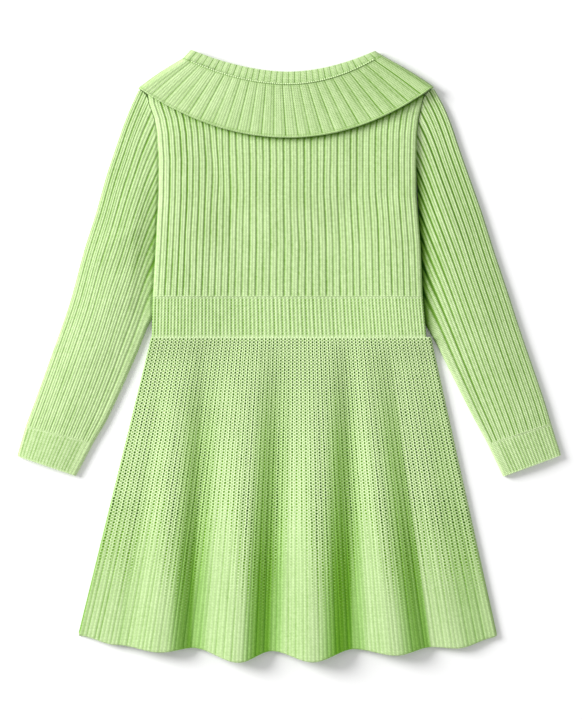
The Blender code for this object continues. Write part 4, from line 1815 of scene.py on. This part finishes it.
@dataclass
class LinkedSeam:
    """The chain of stitches that links the neckband to the collar."""

    plan: DressPlan
    collar: Collar
    name: str
    slot: str
    finish: KnitFinish
    links: int = 84
    from_fold: float = 0.045
    length: float = 1.9
    width: float = 1.6
    height: float = 1.5
    lift: float = 0.6
    look_ahead: float = 0.004

    def build(self) -> bpy.types.Object:
        """Builds the chain, a rounded bead for each stitch.

        Returns:
            The finished object.
        """
        bm = bmesh.new()
        uv_layer = bm.loops.layers.uv.new(UV_NAME)
        for link in range(self.links):
            u = mix(self.from_fold, 1.0 - self.from_fold, link / (self.links - 1))
            here, ahead = (
                to_world(self.collar.spot(Skin.OUTER, place, 0.0), self.plan)
                for place in (u, u + self.look_ahead)
            )
            turn = (ahead - here).to_track_quat("X", "Z").to_matrix().to_4x4()
            made = bmesh.ops.create_uvsphere(bm, u_segments=8, v_segments=5, radius=0.5)
            size = Vector((self.length, self.width, self.height)) * MM
            bmesh.ops.scale(bm, vec=size, verts=made["verts"])
            bmesh.ops.transform(bm, matrix=turn, verts=made["verts"])
            lift = Vector((0.0, 0.0, self.lift * MM))
            bmesh.ops.translate(bm, vec=here + lift, verts=made["verts"])
            for vert in made["verts"]:
                for loop in vert.link_loops:
                    loop[uv_layer].uv = (link * 0.5, 0.25)
        return finish_piece(bm, self.name, self.finish, self.slot)


# Studio ----------------------------------------------------------------------------------


@dataclass(frozen=True)
class Studio:
    """The photograph's setting: white paper, one soft light from the upper left."""

    photo: tuple[int, int] = (583, 720)
    centre_line_px: float = 288.75
    top_px: float = 51.0
    camera_height: float = 3.6
    floor_size: float = 6.0
    key_place: tuple[float, float, float] = (-3.15, 1.3, 1.8)
    key_size: float = 1.9
    key_power: float = 205.0
    sky: float = 0.62

    def build(self, plan: DressPlan) -> None:
        """Makes the camera, the lights and the paper.

        Args:
            plan: The dress, for where the photograph's centre falls on it.
        """
        self._camera(plan)
        self._lights()
        self._paper()
        bpy.context.scene.view_settings.view_transform = "Standard"

    def _camera(self, plan: DressPlan) -> None:
        """Places the camera straight above the middle of the photograph.

        Args:
            plan: The dress, for its length.
        """
        width, height = self.photo
        x = (width * 0.5 - self.centre_line_px) * MM
        y = (plan.length * 0.5 - (height * 0.5 - self.top_px)) * MM
        data = bpy.data.cameras.new("Camera")
        data.sensor_fit = "VERTICAL"
        data.sensor_height = 24.0
        data.lens = data.sensor_height * self.camera_height / (height * MM)
        camera = bpy.data.objects.new("Camera", data)
        camera.location = (x, y, self.camera_height)
        bpy.context.scene.collection.objects.link(camera)
        bpy.context.scene.camera = camera

    def _lights(self) -> None:
        """Adds the soft key light and an even sky."""
        data = bpy.data.lights.new("Key softbox", "AREA")
        data.shape = "DISK"
        data.size = self.key_size
        data.energy = self.key_power
        key = bpy.data.objects.new("Key softbox", data)
        key.location = self.key_place
        aim = Vector((0.0, -0.05, 0.0)) - key.location
        key.rotation_euler = aim.to_track_quat("-Z", "Y").to_euler()
        bpy.context.scene.collection.objects.link(key)
        world = bpy.data.worlds.new("Even studio light")
        world.use_nodes = True
        background = world.node_tree.nodes["Background"]
        background.inputs["Color"].default_value = linear("#FFFFFF")
        background.inputs["Strength"].default_value = self.sky
        bpy.context.scene.world = world

    def _paper(self) -> None:
        """Lays the white paper under the dress."""
        bm = bmesh.new()
        bmesh.ops.create_grid(bm, x_segments=1, y_segments=1, size=self.floor_size * 0.5)
        mesh = bpy.data.meshes.new("Paper")
        bm.to_mesh(mesh)
        bm.free()
        mesh.materials.append(PaperFinish().make())
        paper = bpy.data.objects.new("Paper", mesh)
        bpy.context.scene.collection.objects.link(paper)


# The dress -------------------------------------------------------------------------------


SLEEVE_CROWN = ((40.0, 0.5), (90.0, 2.0), (150.0, 3.2), (230.0, 4.0), (285.0, 4.0), (392.0, 2.4))
CUFF_CROWN = ((373.0, 2.4), (425.0, 1.8))
LEFT_SLEEVE = SleeveCut(
    (
        (39.6, 150.0), (56.0, 157.4), (74.0, 164.7), (97.0, 172.7), (124.0, 181.7),
        (163.0, 192.7), (201.0, 204.7), (249.0, 217.7), (282.0, 228.9), (348.0, 252.7),
        (375.0, 262.7),
    ),
    ((262.0, 133.0), (276.0, 141.0), (304.5, 152.5), (367.0, 181.0), (392.0, 195.5)),
    SLEEVE_CROWN,
)
RIGHT_SLEEVE = SleeveCut(
    (
        (38.6, 145.4), (56.0, 155.0), (74.0, 162.5), (97.0, 170.2), (124.0, 179.7),
        (161.0, 192.7), (199.0, 204.7), (241.0, 218.7), (281.0, 231.7), (348.0, 254.7),
        (373.0, 262.2),
    ),
    ((262.0, 131.5), (273.0, 136.2), (294.0, 148.0), (362.5, 182.5), (393.0, 199.0)),
    SLEEVE_CROWN,
)
LEFT_CUFF = SleeveCut(
    ((375.0, 262.7), (405.0, 271.2)), ((392.0, 195.5), (424.8, 212.7)), CUFF_CROWN
)
RIGHT_CUFF = SleeveCut(
    ((373.0, 262.2), (404.0, 272.0)), ((393.0, 199.0), (425.4, 214.4)), CUFF_CROWN
)
LEFT_SLEEVE_CREASES = (
    Crease(146.0, 176.0, 186.0, 196.0, 6.0, 0.8),
    Crease(150.0, 214.0, 196.0, 226.0, 7.0, -0.7),
    Crease(152.0, 250.0, 190.0, 252.0, 6.0, 0.6),
    Crease(176.0, 300.0, 226.0, 312.0, 8.0, 0.5),
)
RIGHT_SLEEVE_CREASES = (
    Crease(144.0, 160.0, 180.0, 182.0, 6.0, 0.7),
    Crease(146.0, 196.0, 194.0, 214.0, 7.0, -0.7),
    Crease(154.0, 262.0, 208.0, 268.0, 8.0, 0.7),
    Crease(184.0, 322.0, 236.0, 328.0, 8.0, -0.5),
)
BODICE_CREASES = (
    Crease(-122.0, 118.0, -82.0, 156.0, 9.0, -0.5),
    Crease(-118.0, 214.0, -70.0, 196.0, 9.0, 0.4),
    Crease(-40.0, 150.0, 22.0, 216.0, 12.0, 0.4),
    Crease(118.0, 124.0, 78.0, 168.0, 9.0, -0.6),
    Crease(112.0, 222.0, 66.0, 200.0, 9.0, 0.5),
)


@dataclass
class KnitDress:
    """The whole dress, piece by piece."""

    plan: DressPlan = field(default_factory=DressPlan)

    def back(self) -> None:
        """Builds the three panels of the back."""
        bodice = BackBodice(
            self.plan, "Back_bodice", "back_bodice", "bodice_knit",
            KnitFinish("Wide rib cotton knit, back bodice", tone=0.17), creases=BODICE_CREASES,
        ).build()
        waistband = BackWaistband(
            self.plan, "Back_waistband", "back_waistband", "waist_knit",
            KnitFinish("Fine 1x1 rib cotton knit, back waistband", wales_per_rib=1.0, broken=0.45),
            course_mm=2.8,
        ).build()
        skirt = BackSkirt(
            self.plan, "Back_skirt", "back_skirt", "skirt_knit",
            KnitFinish(
                "Racked mesh cotton knit, back skirt", wales_per_rib=1.0, hole_depth_mm=0.9,
                tone=0.0, stitches_per_course=2.0, slubs=0.5,
            ),
            course_mm=3.05,
        ).build()

    def front(self) -> None:
        """Builds the three hidden panels of the front."""
        plan = self.plan
        bodice = FrontPanel(
            plan, "Front_bodice", "front_bodice", "bodice_knit",
            KnitFinish("Wide rib cotton knit, front bodice"),
            lay_out=lambda u, v: plan.bodice(u, v, plan.front_neck_drop), row_count=60,
        ).build()
        waistband = FrontPanel(
            plan, "Front_waistband", "front_waistband", "waist_knit",
            KnitFinish("Fine 1x1 rib cotton knit, front waistband", wales_per_rib=1.0),
            lay_out=plan.waist, profile=FINE_RIB, column_count=75, row_count=8,
        ).build()
        skirt = FrontPanel(
            plan, "Front_skirt", "front_skirt", "skirt_knit",
            KnitFinish("Racked mesh cotton knit, front skirt", wales_per_rib=1.0),
            lay_out=plan.front_skirt, profile=SKIRT_RIB, column_count=84, row_count=40,
            course_mm=3.05,
        ).build()

    def sleeves(self) -> None:
        """Builds both sleeves and both cuffs."""
        # Each side: its cuts, its tone, how dark the painted shade in its grooves is above and
        # below, the painted hollow shade where it slips under the body, and its creases.
        sides = (
            (
                Side.LEFT, "left", LEFT_SLEEVE, LEFT_CUFF, 0.26, (0.75, 0.3),
                Hollow(110.0, 190.0, 240.0, 290.0, 0.4, 11.0), LEFT_SLEEVE_CREASES,
            ),
            (
                Side.RIGHT, "right", RIGHT_SLEEVE, RIGHT_CUFF, 0.13, (1.6, 1.1),
                Hollow(92.0, 150.0, 270.0, 312.0, 1.75, 5.0), RIGHT_SLEEVE_CREASES,
            ),
        )
        for side, word, cut, cuff_cut, tone, shades, hollow, creases in sides:
            sleeve = Sleeve(
                self.plan, f"Sleeve_{word}", f"sleeve_{word}", "sleeve_knit",
                KnitFinish(f"Wide rib cotton knit, {word} sleeve", tone=tone),
                side=side, cut=cut, row_count=90, hollow=hollow, shades=shades,
                creases=creases,
            ).build()
            cuff = Sleeve(
                self.plan, f"Cuff_{word}", f"cuff_{word}", "cuff_knit",
                KnitFinish(f"Fine 1x1 rib cotton knit, {word} cuff", wales_per_rib=1.0, tone=0.17),
                side=side, cut=cuff_cut, armhole=False, profile=CUFF_RIB,
                row_count=14, plain_inner=0.13, shades=(0.65, 0.65),
            ).build()

    def neck(self) -> None:
        """Builds the collar, the neckband and the seam that links them."""
        collar_piece = Collar(
            self.plan, "Collar", "collar", "collar_knit",
            KnitFinish(
                "Flat wide rib cotton knit, collar", wales_per_rib=5.0, tone=0.28, slubs=0.5
            ),
        )
        collar = collar_piece.build()
        neckband = Neckband(
            self.plan, "Neckband", "neckband", "neckband_knit",
            KnitFinish("Rib cotton knit, neckband", tone=0.28),
        ).build()
        seam = LinkedSeam(
            self.plan, collar_piece, "Neck_seam_chain", "neckband_knit",
            KnitFinish("Linking chain in the same cotton yarn", wales_per_rib=1.0, tone=0.05),
        ).build()


def main() -> None:
    """Builds the dress and its setting."""
    logging.basicConfig(level=logging.INFO, format="%(name)s: %(message)s")
    dress = KnitDress()
    dress.front()
    dress.back()
    dress.sleeves()
    dress.neck()
    Studio().build(dress.plan)


if __name__ == "__main__":
    main()
